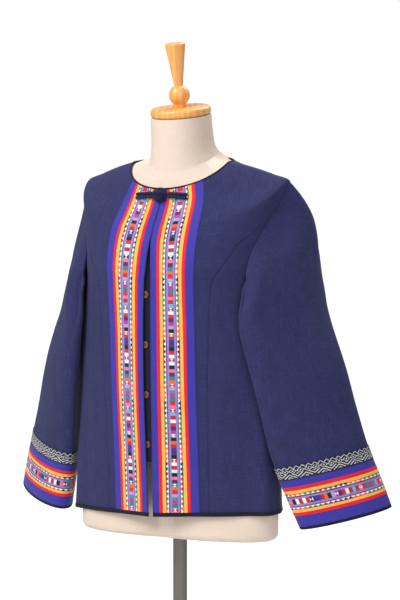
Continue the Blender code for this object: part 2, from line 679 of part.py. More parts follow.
def lathe(name, profile, look, sides, place=(0, 0, 0), lean=0.0):
    """A turned piece: radius and height pairs round its own axis, then leant forwards and placed."""
    turns = np.arange(sides) * 2 * math.pi / sides
    radius, height = np.array(profile).T
    grid = np.stack(
        [
            radius[:, None] * np.cos(turns),
            radius[:, None] * np.sin(turns),
            height[:, None] + 0 * turns,
        ],
        -1,
    )
    thing = add_skin(name, grid, look)
    thing.rotation_euler = (lean, 0, 0)
    thing.location = place
    return thing


def arc(centre_radius, centre_height, radius, start, end, steps):
    """Radius and height pairs along an arc of a profile, with angles in degrees from outwards up."""
    turns = np.radians(np.linspace(start, end, steps))
    return [(centre_radius + radius * math.cos(t), centre_height + radius * math.sin(t)) for t in turns]


def buttons():
    """Flat turned buttons on the strip, half behind the edge of the right front."""
    rim = BUTTON_THICK / 2
    profile = arc(BUTTON_RADIUS - rim, 0, rim, -90, 90, 4)
    # The dished face lies a little lower than the rim.
    profile += [(BUTTON_RADIUS * 0.62, rim * 0.35)]
    for number, height in enumerate(BUTTON_HEIGHTS):
        lift = float(strip_lift(BUTTON_X)) + SEAM + rim
        centre = on_front(BUTTON_X, height, lift)
        level = level_at(BUTTON_X, height)
        facing = body_normal(angle_of_x(BUTTON_X, level), level)
        thing = lathe(f"button_{number + 1}", profile, "coconut", 12, centre)
        pitch = math.acos(facing[2])
        thing.rotation_euler = (pitch, 0, math.atan2(facing[0], -facing[1]))


def tube(name, line, radius, look, sides=7):
    """A round cord along a line of points, with flat ends."""
    line = np.asarray(line, float)
    ahead = unit(np.gradient(line, axis=0))
    out = unit(np.cross(ahead, np.array([0.0, 0.0, 1.0]) + 1e-3))
    out = np.where((out @ np.array([0.0, 1.0, 0.0]))[:, None] > 0, -out, out)
    side = unit(np.cross(ahead, out))
    turns = np.arange(sides) * 2 * math.pi / sides
    grid = line[:, None] + radius * (
        out[:, None] * np.cos(turns)[None, :, None] + side[:, None] * np.sin(turns)[None, :, None]
    )
    return add_skin(name, grid, look)


def droop(x):
    return FROG_DROOP * (np.abs(x) / FROG_REACH) ** 2


def cord_lift():
    return TRIM + 3 * SEAM + CORD_RADIUS


def frog():
    """The corded fastening: a loop on the right, its partner on the left, and the ball knot."""
    half = CORD_APART / 2
    away = np.linspace(FROG_REACH, LOOP_RADIUS * 1.15, 7)
    opening = math.asin(half / LOOP_RADIUS) + 0.25
    round_ball = np.linspace(math.pi - opening, -math.pi + opening, 15)
    x = np.concatenate([-away, LOOP_RADIUS * np.cos(round_ball), -away[::-1]])
    rise = np.concatenate([np.full(7, half), LOOP_RADIUS * np.sin(round_ball), np.full(7, -half)])
    tube("frog_loop", on_front(x, FROG_Z + rise - droop(x), cord_lift()), CORD_RADIUS, "navy_cotton")
    bend_x = LOOP_RADIUS + CORD_RADIUS + SEAM + half + CORD_RADIUS
    away = np.linspace(FROG_REACH, bend_x, 6)
    bend = np.linspace(math.pi / 2, 3 * math.pi / 2, 7)[1:-1]
    x = np.concatenate([away, bend_x + half * np.cos(bend), away[::-1]])
    rise = np.concatenate([np.full(6, half), half * np.sin(bend), np.full(6, -half)])
    tube("frog_stem", on_front(x, FROG_Z + rise - droop(x), cord_lift()), CORD_RADIUS, "navy_cotton")
    centre = on_front(0.0, FROG_Z, KNOT_LIFT)
    profile = arc(0, 0, KNOT_RADIUS, -78, 78, 9)
    lathe("frog_knot", profile, "navy_cotton", 14, centre, math.radians(70))


def form_ease(angle, level):
    """How far the form lies inside the cloth's inner face."""
    x = body_point(angle, level)[..., 0]
    front = np.exp(-((x / FORM_FRONT_REACH) ** 2)) * (np.cos(angle) > 0)
    front = front * (1 - ease_in((level - TIP) / (NECK - TIP)))
    return smooth(FORM_EASE, level) + FORM_FRONT_EASE * front


def form_rings():
    """The body's rings with the dress form's own sizes below the armpit."""
    rings = {}
    for name, row in BODY_RINGS.items():
        ring = dict(zip(BODY_COLUMNS, row))
        ring.update(zip(FORM_CHANGED, FORM_CHANGES.get(name, ())))
        rings[name] = tuple(ring.values())
    return rings


def dress_form():
    """The covered torso and neck: the cloth's own shape moved in, with a socket for the pole."""
    around = np.arange(FORM_COLUMNS) * 2 * math.pi / FORM_COLUMNS
    levels = np.concatenate([np.linspace(0, ARMPIT, 9), np.linspace(ARMPIT, NECK, 19)[1:]])
    angle, level = np.meshgrid(around, levels)
    inset = CLOTH + form_ease(angle, level)
    rings = form_rings()
    torso = body_point(angle, level, rings) - body_normal(angle, level, rings) * inset[..., None]
    neck_levels = np.linspace(0, len(FORM_NECK_RINGS) - 1.0, 6)
    angle, level = np.meshgrid(around, neck_levels)
    neck = ring_point(read_table(FORM_NECK_RINGS, BODY_COLUMNS, level), angle)
    # The top leans forwards with the cap.
    leant = ease_in(level / neck_levels[-1]) * math.tan(LEAN)
    neck[..., 2] += (neck[..., 1] - FORM_NECK_RINGS["top"][3]) * leant
    hip = torso[0]
    inwards = unit(hip * np.array([1.0, 1.0, 0.0]))
    edge = []
    for turn in np.radians((90, 60, 30, 0)):
        ring = hip - inwards * FORM_EDGE * (1 - math.sin(turn))
        ring[:, 2] = FORM_BOTTOM + FORM_EDGE * (1 - math.cos(turn))
        edge.append(ring)
    edge = edge[::-1]
    socket = POLE_RADIUS + SEAM
    circle = np.stack([np.sin(around), -np.cos(around), np.zeros(FORM_COLUMNS)], -1) * socket
    hole = [circle + np.array([0, 0, FORM_BOTTOM + rise]) for rise in (SOCKET_DEPTH, 0.0)]
    grid = np.concatenate([np.array(hole), np.array(edge), torso, neck])
    add_skin("dress_form", grid, "linen")


def neck_cap_and_finial():
    """The turned wooden cap on the neck, and the ball and handle on it."""
    top = FORM_NECK_RINGS["top"]
    seat = np.array([0.0, top[3], top[4]])
    up = np.array([0.0, -math.sin(LEAN), math.cos(LEAN)])
    edge = CAP_ROUND
    profile = arc(CAP_RADIUS - edge, edge, edge, -90, 0, 4)
    profile += arc(CAP_RADIUS - edge, CAP_THICK - edge, edge, 0, 90, 4)
    lathe("neck_cap", profile, "beech", 28, seat + up * SEAM, LEAN)
    low = -math.degrees(math.acos(BALL_FOOT / BALL_RADIUS))
    high = math.degrees(math.acos(STEM_RADIUS / BALL_RADIUS))
    profile = [(BALL_FOOT, 0.0)] + arc(0, BALL_RISE, BALL_RADIUS, low, high, 8)
    shoulder = profile[-1][1]
    shares = np.linspace(0.15, 1, 4)
    profile += [
        (STEM_RADIUS + (HANDLE_RADIUS - STEM_RADIUS) * share, shoulder + HANDLE_LENGTH * share)
        for share in shares
    ]
    tip = profile[-1][1]
    profile += arc(HANDLE_RADIUS - 0.003, tip, 0.003, 20, 90, 3)
    lathe("finial", profile, "beech", 18, seat + up * (CAP_THICK + 2 * SEAM), LEAN)


def stand():
    """The pole and the round base that it stands in."""
    foot = BASE_THICK + SEAM
    pole = [(POLE_RADIUS, foot), (POLE_RADIUS, FORM_BOTTOM + SOCKET_DEPTH - SEAM)]
    lathe("pole", pole, "steel", 24)
    inner = POLE_RADIUS + SEAM
    rim = BASE_THICK - BASE_ROUND
    profile = [(BASE_RADIUS - 0.0015, 0.0), (BASE_RADIUS, 0.0015)]
    profile += arc(BASE_RADIUS - BASE_ROUND, rim, BASE_ROUND, 0, 90, 4)
    profile += [(COLLAR_RADIUS + 0.004, BASE_THICK), (COLLAR_RADIUS, BASE_THICK + 0.004)]
    profile += arc(COLLAR_RADIUS - 0.003, BASE_THICK + COLLAR_TALL - 0.003, 0.003, 0, 90, 3)
    profile += [(inner, BASE_THICK + COLLAR_TALL), (inner, BASE_THICK)]
    lathe("base", profile, "steel", 36)


def main():
    clear_scene()
    for side, word in ((1, "left"), (-1, "right")):
        front_panels(side, word)
        sleeves(side, word)
    back_panel()
    bindings()
    button_strip()
    buttons()
    frog()
    dress_form()
    neck_cap_and_finial()
    stand()


main()
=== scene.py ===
"""Collarless navy cotton jacket with patchwork ribbons, on a limbless dress form with its stand.

Every cloth piece is a thin wall over a surface worked out from short tables: the worn body is a
function of an angle round it and a ring number, and a sleeve is a function of a turn round it and
a ring number. The front faces -Y and the wearer's left is +X. Metres throughout.
"""

import math

import bmesh
import bpy
import numpy as np
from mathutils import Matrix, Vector


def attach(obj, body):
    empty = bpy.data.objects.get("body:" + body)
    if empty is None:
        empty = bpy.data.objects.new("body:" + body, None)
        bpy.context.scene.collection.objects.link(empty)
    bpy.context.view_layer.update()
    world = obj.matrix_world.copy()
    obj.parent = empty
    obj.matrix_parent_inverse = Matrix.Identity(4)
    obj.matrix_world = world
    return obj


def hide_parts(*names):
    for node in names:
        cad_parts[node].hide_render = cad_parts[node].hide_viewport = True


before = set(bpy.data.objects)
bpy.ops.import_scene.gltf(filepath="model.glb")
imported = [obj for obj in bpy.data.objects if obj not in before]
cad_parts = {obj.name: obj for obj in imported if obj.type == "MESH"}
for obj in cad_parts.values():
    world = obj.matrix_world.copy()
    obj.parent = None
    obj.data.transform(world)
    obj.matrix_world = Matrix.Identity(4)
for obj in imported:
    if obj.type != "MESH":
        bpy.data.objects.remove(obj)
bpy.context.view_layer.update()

bl_info = {
    "name": "Ribbon jacket on a dress form",
    "version": (1, 0, 0),
    "blender": (4, 5, 0),
    "location": "View3D > Sidebar > Jacket",
    "description": "Builds the jacket, its dress form and its stand, piece by piece",
    "category": "Add Mesh",
}

# Walls and clearances
CLOTH = 0.0015
TRIM = 0.0010
SEAM = 0.0003
PROUD = 0.0003

# Edges and ribbons, as widths on the cloth
HEM_BINDING = 0.007
NECK_BINDING = 0.003
CUFF_BINDING = 0.005
CUFF_RIBBON = 0.083
WOVEN_RIBBON = 0.024
FRONT_RIBBON = 0.081

# The worn body, as rings from hem to neck
BODY_COLUMNS = "half_width front back centre_y z_side z_front z_back square point".split()
BODY_RINGS = {
    "hem": (0.2000, 0.0713, 0.1080, -0.009, 0.7480, 0.7480, 0.7480, 2.10, 0.0230),
    "hip": (0.1950, 0.0816, 0.1050, -0.006, 0.8500, 0.8500, 0.8500, 2.10, 0.0210),
    "waist": (0.1900, 0.0950, 0.1010, -0.003, 0.9550, 0.9550, 0.9550, 2.10, 0.0155),
    "ribs": (0.1905, 0.1071, 0.1010, 0.003, 1.0600, 1.0600, 1.0600, 2.10, 0.0115),
    "armpit": (0.1810, 0.1198, 0.1010, 0.010, 1.1550, 1.1550, 1.1550, 2.10, 0.0030),
    "bust": (0.1800, 0.1245, 0.0980, 0.014, 1.2000, 1.1750, 1.1850, 2.20, 0.0),
    "chest": (0.1840, 0.1260, 0.0940, 0.018, 1.2500, 1.1980, 1.2150, 2.20, 0.0),
    "blade": (0.1920, 0.1270, 0.0870, 0.023, 1.2900, 1.2180, 1.2450, 2.10, 0.0),
    "tip": (0.1995, 0.1230, 0.0770, 0.027, 1.3245, 1.2380, 1.2750, 2.05, 0.0),
    "shoulder": (0.1700, 0.1070, 0.0730, 0.023, 1.3370, 1.2590, 1.3050, 2.00, 0.0),
    "slope": (0.1300, 0.0830, 0.0700, 0.015, 1.3500, 1.2880, 1.3380, 2.00, 0.0),
    "neck": (0.0940, 0.0700, 0.0700, 0.007, 1.3585, 1.3125, 1.3680, 2.00, 0.0),
}
POINT_REACH, POINT_ROUND = 0.125, 0.010
HEM_SKEW = 0.035
RING_NUMBER = {name: number for number, name in enumerate(BODY_RINGS)}
ARMPIT = float(RING_NUMBER["armpit"])
TIP = float(RING_NUMBER["tip"])
NECK = float(RING_NUMBER["neck"])
BUST_X, BUST_Z, BUST_WIDE, BUST_TALL, BUST_DEEP = 0.085, 1.170, 0.050, 0.065, 0.006

# Half the opening, the ribbon's outer edge and the panel seam, by body ring
HALF_OPENING = (
    *(0.0045, 0.0060, 0.0072, 0.0074, 0.0065, 0.0050),
    *(0.0035, 0.0015, 0.0006, 0.0006, 0.0006, 0.0006),
)
RIBBON_EDGE = (
    *(0.0835, 0.0835, 0.0838, 0.0840, 0.0850, 0.0860),
    *(0.0862, 0.0862, 0.0855, 0.0825, 0.0775, 0.0690),
)
PANEL_SEAM_X = (0.100, 0.101, 0.1025, 0.106, 0.114, 0.130, 0.151)
ARMHOLE_FRONT, ARMHOLE_BACK, ARMHOLE_DROP = 22.0, 23.0, 0.92
ARMHOLE_STEPS, SEAM_STEP = 10, 6
FINER = 5  # rows of the fine grid for each of the armhole's steps
DIP_DEPTH, DIP_REACH = 0.0004, 0.0022  # how the cloth sinks beside a seam

# Soft folds of the body: place in degrees and ring, reach along and across, height
FOLD_COLUMNS = "angle ring along across height".split()
BODY_FOLDS = (
    (52.0, 0.0, 1.9, 8.0, -0.0040),
    (70.0, 0.0, 2.3, 9.0, 0.0045),
    (104.0, 0.3, 2.0, 10.0, -0.0035),
    (128.0, 0.0, 2.4, 9.0, 0.0040),
    (158.0, 0.0, 2.0, 10.0, -0.0030),
    (186.0, 0.0, 2.2, 11.0, 0.0040),
    (214.0, 0.0, 1.8, 9.0, -0.0035),
    (236.0, 0.2, 2.4, 10.0, 0.0040),
    (284.0, 0.0, 2.2, 9.0, 0.0045),
    (306.0, 0.3, 2.2, 8.0, -0.0035),
)

# Creases, from one place to another in degrees and rings, with half their width in degrees
CREASE_COLUMNS = "angle_start angle_end ring_start ring_end across height".split()
BODY_CREASES = (
    (68.0, 47.0, 4.3, 2.9, 4.0, -0.0012),
    (72.0, 56.0, 4.0, 2.1, 4.5, 0.0010),
    (61.0, 58.0, 2.6, 0.4, 3.2, -0.0009),
    (36.0, 40.0, 2.2, 0.1, 3.0, 0.0008),
    (44.0, 41.0, 1.6, 0.0, 2.6, -0.0009),
    (292.0, 313.0, 4.3, 3.0, 4.0, -0.0012),
    (288.0, 305.0, 3.8, 1.9, 4.5, 0.0010),
    (322.0, 318.0, 2.4, 0.1, 3.0, -0.0009),
    (112.0, 131.0, 4.4, 3.0, 4.0, -0.0013),
    (108.0, 119.0, 3.6, 1.7, 4.0, 0.0010),
    (143.0, 148.0, 2.4, 0.2, 3.4, -0.0010),
    (171.0, 168.0, 2.8, 0.6, 3.6, 0.0009),
    (201.0, 205.0, 2.5, 0.1, 3.2, -0.0009),
    (248.0, 229.0, 4.4, 3.1, 4.2, -0.0013),
    (252.0, 240.0, 3.5, 1.8, 4.0, 0.0009),
    (259.0, 262.0, 2.2, 0.1, 3.0, -0.0009),
)

# The left sleeve, from the armhole to the cuff
SLEEVE_COLUMNS = "outer_x outer_y outer_z inner_x inner_y inner_z out_depth in_depth".split()
SLEEVE_RINGS = {
    "armhole": (0.1960, 0.037, 1.3120, 0.1700, -0.035, 1.172, 0.040, 0.045),
    "cap": (0.2200, 0.072, 1.2480, 0.1610, -0.057, 1.160, 0.029, 0.032),
    "upper_arm": (0.2290, 0.084, 1.1840, 0.1600, -0.075, 1.126, 0.034, 0.018),
    "biceps": (0.2430, 0.077, 1.1180, 0.1600, -0.080, 1.081, 0.035, 0.018),
    "elbow": (0.2890, 0.064, 1.0080, 0.1815, -0.063, 0.970, 0.035, 0.029),
    "forearm": (0.3230, 0.066, 0.8980, 0.1980, -0.040, 0.862, 0.035, 0.032),
    "cuff": (0.3680, 0.085, 0.7680, 0.2380, -0.003, 0.731, 0.035, 0.035),
}
SLEEVE_TURN = math.radians(40.0)
CUFF = len(SLEEVE_RINGS) - 1.0
FOREARM_TO_CUFF = 0.1405
CAP_FADE, CAP_EDGE, CAP_PROUD = 1.7, 0.25, -0.0002
CAP_FULL, CAP_REACH = 0.0090, math.radians(62.0)
SLEEVE_CLEARS = (0.0090, 0.0045, 0.0016)
SLEEVE_FOLDS = (
    (50.0, 34.0, 0.9, 3.6, 13.0, -0.0060),
    (84.0, 66.0, 0.7, 4.2, 15.0, 0.0045),
    (118.0, 108.0, 0.8, 3.0, 14.0, -0.0035),
    (250.0, 268.0, 1.0, 4.0, 16.0, -0.0050),
    (300.0, 318.0, 0.9, 3.4, 14.0, 0.0045),
    (22.0, 12.0, 2.0, 4.6, 12.0, 0.0030),
)
SLEEVE_CREASES = (
    (40.0, 70.0, 2.7, 3.9, 7.0, -0.0020),
    (64.0, 92.0, 2.2, 3.5, 6.0, 0.0016),
    (100.0, 74.0, 3.6, 5.0, 6.5, -0.0014),
    (132.0, 118.0, 1.4, 3.1, 7.0, -0.0016),
    (150.0, 128.0, 3.2, 4.9, 7.5, 0.0014),
    (176.0, 160.0, 1.2, 2.7, 6.0, -0.0012),
    (204.0, 196.0, 2.4, 4.6, 7.0, 0.0013),
    (226.0, 240.0, 1.5, 3.0, 6.5, -0.0017),
    (266.0, 246.0, 3.3, 4.9, 7.0, 0.0013),
    (318.0, 340.0, 3.0, 4.4, 6.0, -0.0015),
    (12.0, 30.0, 3.8, 5.2, 6.0, -0.0012),
)

# The dress form inside the cloth
FORM_CHANGED = "half_width front point".split()
FORM_CHANGES = {
    "hem": (0.1990, 0.0745, 0.0),
    "hip": (0.1940, 0.0835, 0.0),
    "waist": (0.1893, 0.1010, 0.0),
    "ribs": (0.1903, 0.1110, 0.0),
    "armpit": (0.1810, 0.1200, 0.0),
}
FORM_EASE = (
    *(0.0065, 0.0065, 0.0065, 0.0060, 0.0055, 0.0050),
    *(0.0050, 0.0048, 0.0045, 0.0038, 0.0034, 0.0022),
)
FORM_FRONT_EASE, FORM_FRONT_REACH = 0.0060, 0.045
FORM_BOTTOM, FORM_EDGE = 0.7060, 0.012
FORM_SIDES, FORM_LOWER_ROWS, FORM_UPPER_ROWS, FORM_NECK_ROWS = 120, 25, 57, 16
FORM_NECK_RINGS = {
    "root": (0.0620, 0.0590, 0.0560, 0.016, 1.3680, 1.3370, 1.3850, 2.00, 0.0),
    "low": (0.0565, 0.0550, 0.0530, 0.0115, 1.3820, 1.3640, 1.3950, 2.00, 0.0),
    "middle": (0.0540, 0.0535, 0.0525, 0.0080, 1.4050, 1.3940, 1.4150, 2.00, 0.0),
    "top": (0.0529, 0.0529, 0.0529, 0.0040, 1.4377, 1.4377, 1.4377, 2.00, 0.0),
}

# Neck cap, finial and stand
LEAN = math.radians(9.5)
CAP_RADIUS, CAP_THICK, CAP_ROUND = 0.0530, 0.0150, 0.0060
BALL_RADIUS, BALL_RISE, BALL_FOOT = 0.0183, 0.0205, 0.0118
STEM_RADIUS, HANDLE_RADIUS, HANDLE_LENGTH = 0.0075, 0.0175, 0.0710
POLE_RADIUS, SOCKET_DEPTH = 0.0125, 0.060
BASE_RADIUS, BASE_THICK, BASE_ROUND = 0.150, 0.012, 0.004
COLLAR_RADIUS, COLLAR_TALL = 0.021, 0.030
POLE_EDGE, BASE_EDGE, COLLAR_FOOT, COLLAR_ROUND = 0.001, 0.0015, 0.004, 0.003
HANDLE_ROUND = 0.003

# Button strip, buttons and frog
STRIP_HIDDEN, STRIP_SEWN = 0.019, 0.021
STRIP_SINK, STRIP_BEND = 0.0030, 0.010
STRIP_FROM, STRIP_TO = 0.92, 8.6
BUTTON_HEIGHTS = (0.873, 0.959, 1.045, 1.131)
BUTTON_X, BUTTON_RADIUS, BUTTON_THICK = -0.0052, 0.0060, 0.0021
CORD_RADIUS, CORD_APART = 0.0028, 0.0060
FROG_Z, FROG_REACH, FROG_DROOP = 1.3000, 0.048, 0.003
KNOT_RADIUS, KNOT_LIFT, LOOP_RADIUS = 0.0100, 0.0114, 0.0100
KNOT_CORD, KNOT_CORE = 0.0024, 0.74
CORD_LIFT = 0.0004
FORWARDS = (0.0, -1.0, 0.05)  # the side of a cord's tube where its circles start
SOFT_EDGE = 60.0  # a cord's edges stay smooth below this angle

SIDES = ((1, "left"), (-1, "right"))

# Camera and floor
CAMERA_PLACE, CAMERA_TARGET = (1.9699, -3.4815, 1.36), (0.0306, 0.0170, 1.116)
FLOOR_REACH, FLOOR_DROP = 60.0, 0.0005

# Bands of the patchwork ribbons: width in millimetres, what it is, and how far it stands up.
# "teeth_in" has the points of its white triangles towards the ribbon's start, "teeth_out" away.
FRONT_BANDS = (
    (12.0, "violet", 0.0),
    (6.0, "red", 0.5),
    (5.8, "yellow", 0.3),
    (4.8, "teeth_in", 0.6),
    (1.8, "maroon", 0.4),
    (3.9, "periwinkle", 0.1),
    (9.8, "blocks", 0.5),
    (3.5, "periwinkle", 0.1),
    (1.8, "maroon", 0.4),
    (4.8, "teeth_out", 0.6),
    (5.8, "yellow", 0.3),
    (6.0, "red", 0.5),
    (15.0, "violet", 0.0),
)
CUFF_BANDS = (
    (12.0, "violet", 0.0),
    (6.5, "red", 0.5),
    (5.5, "yellow", 0.3),
    (4.2, "teeth_in", 0.6),
    (2.0, "maroon", 0.4),
    (3.2, "periwinkle", 0.1),
    (9.4, "blocks", 0.5),
    (3.2, "periwinkle", 0.1),
    (2.0, "maroon", 0.4),
    (4.2, "teeth_out", 0.6),
    (4.8, "yellow", 0.3),
    (6.0, "red", 0.5),
    (20.0, "violet", 0.0),
)
STEP_RUN = 0.00025  # a band's edge rises over this width
RIBBON_CLOTH = 0.0006  # a ribbon's thickness under its bands
RIPPLE = 0.00012  # how far ribbons and bindings wave along their length
STITCH_IN = 0.0012  # how far a row of stitches runs inside a ribbon's edge
TOOTH = 0.0088
BLOCK = 0.0062
BLOCK_COLOURS = (
    "teal magenta slate lilac red orange teal plum pink black white crimson white red black "
    "purple violet crimson orange black lilac magenta purple red white crimson sky crimson pink red"
).split()
TOOTH_GROUNDS = "green ink orange green maroon ink orange green".split()
TOOTH_GROUND_LENGTH = 0.0264


def linear(red, green, blue):
    """A colour given as 0 to 255, in Blender's linear values: ((c + 0.055) / 1.055) to the power 2.4."""
    values = (np.array((red, green, blue)) / 255 + 0.055) / 1.055
    return (*(float(v) for v in values**2.4), 1.0)


THREADS = {
    "violet": linear(54, 48, 156),
    "red": linear(222, 26, 46),
    "yellow": linear(250, 182, 84),
    "maroon": linear(140, 28, 66),
    "periwinkle": linear(130, 142, 200),
    "white": linear(240, 240, 245),
    "teal": linear(40, 130, 140),
    "magenta": linear(190, 50, 150),
    "slate": linear(90, 130, 150),
    "lilac": linear(190, 150, 205),
    "orange": linear(240, 100, 40),
    "plum": linear(100, 30, 90),
    "pink": linear(240, 110, 160),
    "black": linear(18, 18, 28),
    "crimson": linear(200, 20, 50),
    "purple": linear(80, 40, 120),
    "sky": linear(110, 170, 225),
    "green": linear(60, 130, 80),
    "ink": linear(40, 30, 70),
}

# Plain cloths: the panel's colour, threads per metre, slubs, bump, lint, how dark the weave goes, sheen
CLOTHS = {
    "navy_cotton": ("cloth", 1400.0, 0.8, 0.00025, 0.05, 0.45, 0.04),
    "navy_cord": ("cord", 1500.0, 0.5, 0.0002, 0.08, 0.45, 0.04),
    "binding": ("binding", 1600.0, 0.4, 0.0001, 0.10, 0.45, 0.04),
    "linen": ("form", 1300.0, 0.5, 0.00012, 0.0, 0.84, 0.05),
    "thread": ("thread", 3000.0, 0.3, 0.00005, 0.0, 0.45, 0.04),
}
LINT = (0.55, 0.55, 0.62, 1.0)


# Surfaces


def smooth(values, at):
    """A monotone cubic curve through values, one for each whole number, read at the numbers in at."""
    values = np.asarray(values, float)
    at = np.clip(np.asarray(at, float), 0, len(values) - 1)
    steps = np.diff(values)
    product = steps[:-1] * steps[1:]
    total = np.where(product > 0, steps[:-1] + steps[1:], 1.0)
    slopes = np.concatenate([steps[:1], np.where(product > 0, 2 * product / total, 0.0), steps[-1:]])
    low = np.minimum(at.astype(int), len(values) - 2)
    t = at - low
    start, end = values[low], values[low + 1]
    return (
        start * (1 + 2 * t) * (1 - t) ** 2
        + slopes[low] * t * (1 - t) ** 2
        + end * t * t * (3 - 2 * t)
        + slopes[low + 1] * t * t * (t - 1)
    )


def read_table(rings, columns, at):
    """The columns of a table of rings, each read by a smooth curve at the ring numbers in at."""
    rows = np.array(list(rings.values()))
    return {name: smooth(rows[:, number], at) for number, name in enumerate(columns)}


def unit(vectors):
    """Each vector divided by its length."""
    return vectors / np.maximum(np.linalg.norm(vectors, axis=-1, keepdims=True), 1e-12)


def ease_in(t):
    """t squared times (3 - 2 t) between 0 and 1, and level outside."""
    t = np.clip(t, 0, 1)
    return t * t * (3 - 2 * t)


def ring_height(ring, ahead):
    """The side's height plus a rise that grows softly with how far the point lies ahead or behind."""
    rise = np.where(ahead > 0, ring["z_front"], ring["z_back"]) - ring["z_side"]
    soft = 0.1
    share = (np.sqrt(ahead**2 + soft**2) - soft) / (math.sqrt(1 + soft**2) - soft)
    return ring["z_side"] + rise * share


def ring_point(ring, angle):
    """A superellipse, |x|^n + |y|^n = 1 scaled to the ring, drawn out to a soft ridge at the front."""
    across, ahead = np.sin(angle), np.cos(angle)
    power = ring["square"]
    spread = (np.abs(across) ** power + np.abs(ahead) ** power) ** (-1 / power)
    depth = np.where(ahead > 0, ring["front"], ring["back"])
    x = ring["half_width"] * across * spread
    y = ring["centre_y"] - depth * ahead * spread
    off = np.sqrt(x**2 + POINT_ROUND**2) - POINT_ROUND
    y = y - ring["point"] * np.clip(1 - off / POINT_REACH, 0, 1) ** 2 * (ahead > 0)
    return np.stack([x, y, ring_height(ring, ahead)], axis=-1)


def body_point(angle, level, rings=None):
    """The ring at that number, its bust a Gaussian swelling and its hem tilted a little."""
    angle, level = np.broadcast_arrays(np.asarray(angle, float), np.asarray(level, float))
    point = ring_point(read_table(rings or BODY_RINGS, BODY_COLUMNS, level), angle)
    x, z = point[..., 0], point[..., 2]
    if rings is None:
        point[..., 2] += HEM_SKEW * x * ease_in(1 - level)
    swell = np.exp(-(((np.abs(x) - BUST_X) / BUST_WIDE) ** 2) - ((z - BUST_Z) / BUST_TALL) ** 2)
    point[..., 1] -= BUST_DEEP * swell * (np.cos(angle) > 0) * np.abs(np.cos(angle))
    return point


def body_normal(angle, level, rings=None):
    """The cross product of the surface's two small differences, made one long."""
    step = 1e-3
    across = body_point(angle + step, level, rings) - body_point(angle - step, level, rings)
    up = body_point(angle, level + step, rings) - body_point(angle, level - step, rings)
    return unit(np.cross(across, up))


def along_line(table, turn, level):
    """A sum of ridges, each a Gaussian across a slanting line that fades in and out along it."""
    height = np.zeros(np.broadcast(turn, level).shape)
    for row in table:
        fold = dict(zip(CREASE_COLUMNS, row))
        share = (level - fold["ring_start"]) / (fold["ring_end"] - fold["ring_start"])
        angle = fold["angle_start"] + (fold["angle_end"] - fold["angle_start"]) * np.clip(share, 0, 1)
        away = ((np.degrees(turn) - angle + 180) % 360 - 180) / fold["across"]
        along = ease_in(share * 3 + 0.3) * ease_in((1 - share) * 1.6)
        height += fold["height"] * np.exp(-(away**2)) * along
    return height


def body_folds(angle, level):
    """Gaussian folds, slanting creases, and a slow ripple of two sines that dies out above the hem."""
    height = np.zeros(np.broadcast(angle, level).shape)
    for row in BODY_FOLDS:
        fold = dict(zip(FOLD_COLUMNS, row))
        turn = (np.degrees(angle) - fold["angle"] + 180) % 360 - 180
        away = (turn / fold["across"]) ** 2 + ((level - fold["ring"]) / fold["along"]) ** 2
        height += fold["height"] * np.exp(-away)
    ripple = np.sin(11 * angle + 0.7) + 0.7 * np.sin(17 * angle - 1.1 + 0.8 * level)
    height += 0.0006 * ripple * np.exp(-((level / 0.8) ** 2)) * (1 - np.exp(-((angle / 0.5) ** 2)))
    return height + along_line(BODY_CREASES, angle % (2 * math.pi), level)


def on_body(angle, level, lift):
    """The body's point moved along its normal by the folds and by lift."""
    off = body_folds(angle, level) + lift
    return body_point(angle, level) + body_normal(angle, level) * off[..., None]


def angle_of_x(x, level):
    """The superellipse solved for the angle whose x is given."""
    ring = read_table(BODY_RINGS, BODY_COLUMNS, level)
    power = ring["square"]
    share = np.clip(np.abs(x) / ring["half_width"], 0, 0.999) ** power
    return np.sign(x) * np.arctan((share / (1 - share)) ** (1 / power))


def armhole(turn, size=1.0):
    """(angle, level) round an oval that is wider in its lower half; turn is 0 at the armpit."""
    half = (TIP - ARMPIT) / 2
    reach = np.radians(np.where(np.sin(turn) > 0, ARMHOLE_FRONT, ARMHOLE_BACK))
    reach = reach * np.sin(turn) * (1 + ARMHOLE_DROP * np.cos(turn))
    return math.pi / 2 - size * reach, ARMPIT + half * (1 - size * np.cos(turn))


def armhole_edge(level, forwards):
    """The armhole's oval solved for its angle at a ring number."""
    half = (TIP - ARMPIT) / 2
    turn = np.arccos(np.clip((ARMPIT + half - level) / half, -1, 1))
    return armhole(turn if forwards else -turn)[0]


SEAM_END = float(armhole(math.pi * SEAM_STEP / ARMHOLE_STEPS)[1])


def panel_seam(level):
    """A smooth curve through the seam's distances from the centre line, ending on the armhole."""
    end_x = float(body_point(armhole_edge(SEAM_END, True), SEAM_END)[0])
    last = len(PANEL_SEAM_X) - 1.0
    at = np.where(level > last, last + (level - last) / (SEAM_END - last), level)
    return angle_of_x(smooth((*PANEL_SEAM_X, end_x), at), level)


def level_step(angle, level, distance):
    """The change of ring number that crosses a distance on the cloth."""
    small = 0.02
    near = level - small if level > 1 else level + small
    length = np.linalg.norm(body_point(angle, level) - body_point(angle, near), axis=-1)
    return distance * small / length


def neck_level(angle, distance):
    """The ring number that lies a distance below the neckline."""
    return NECK - level_step(angle, NECK, distance)


HEM_BINDING_LEVEL = float(level_step(0.0, 0.0, HEM_BINDING))


def cloth_levels():
    """Ring numbers of the panels' rows: even steps, then the armhole's own rows, then even steps."""
    bottom = HEM_BINDING_LEVEL + level_step(0.0, 0.0, SEAM)
    lower = np.linspace(bottom, ARMPIT, 60)
    steps = np.arange(1, ARMHOLE_STEPS * FINER + 1) / (ARMHOLE_STEPS * FINER)
    middle = armhole(math.pi * steps)[1]
    upper = np.linspace(TIP, NECK, 24)[1:]
    return np.concatenate([lower, middle, upper])


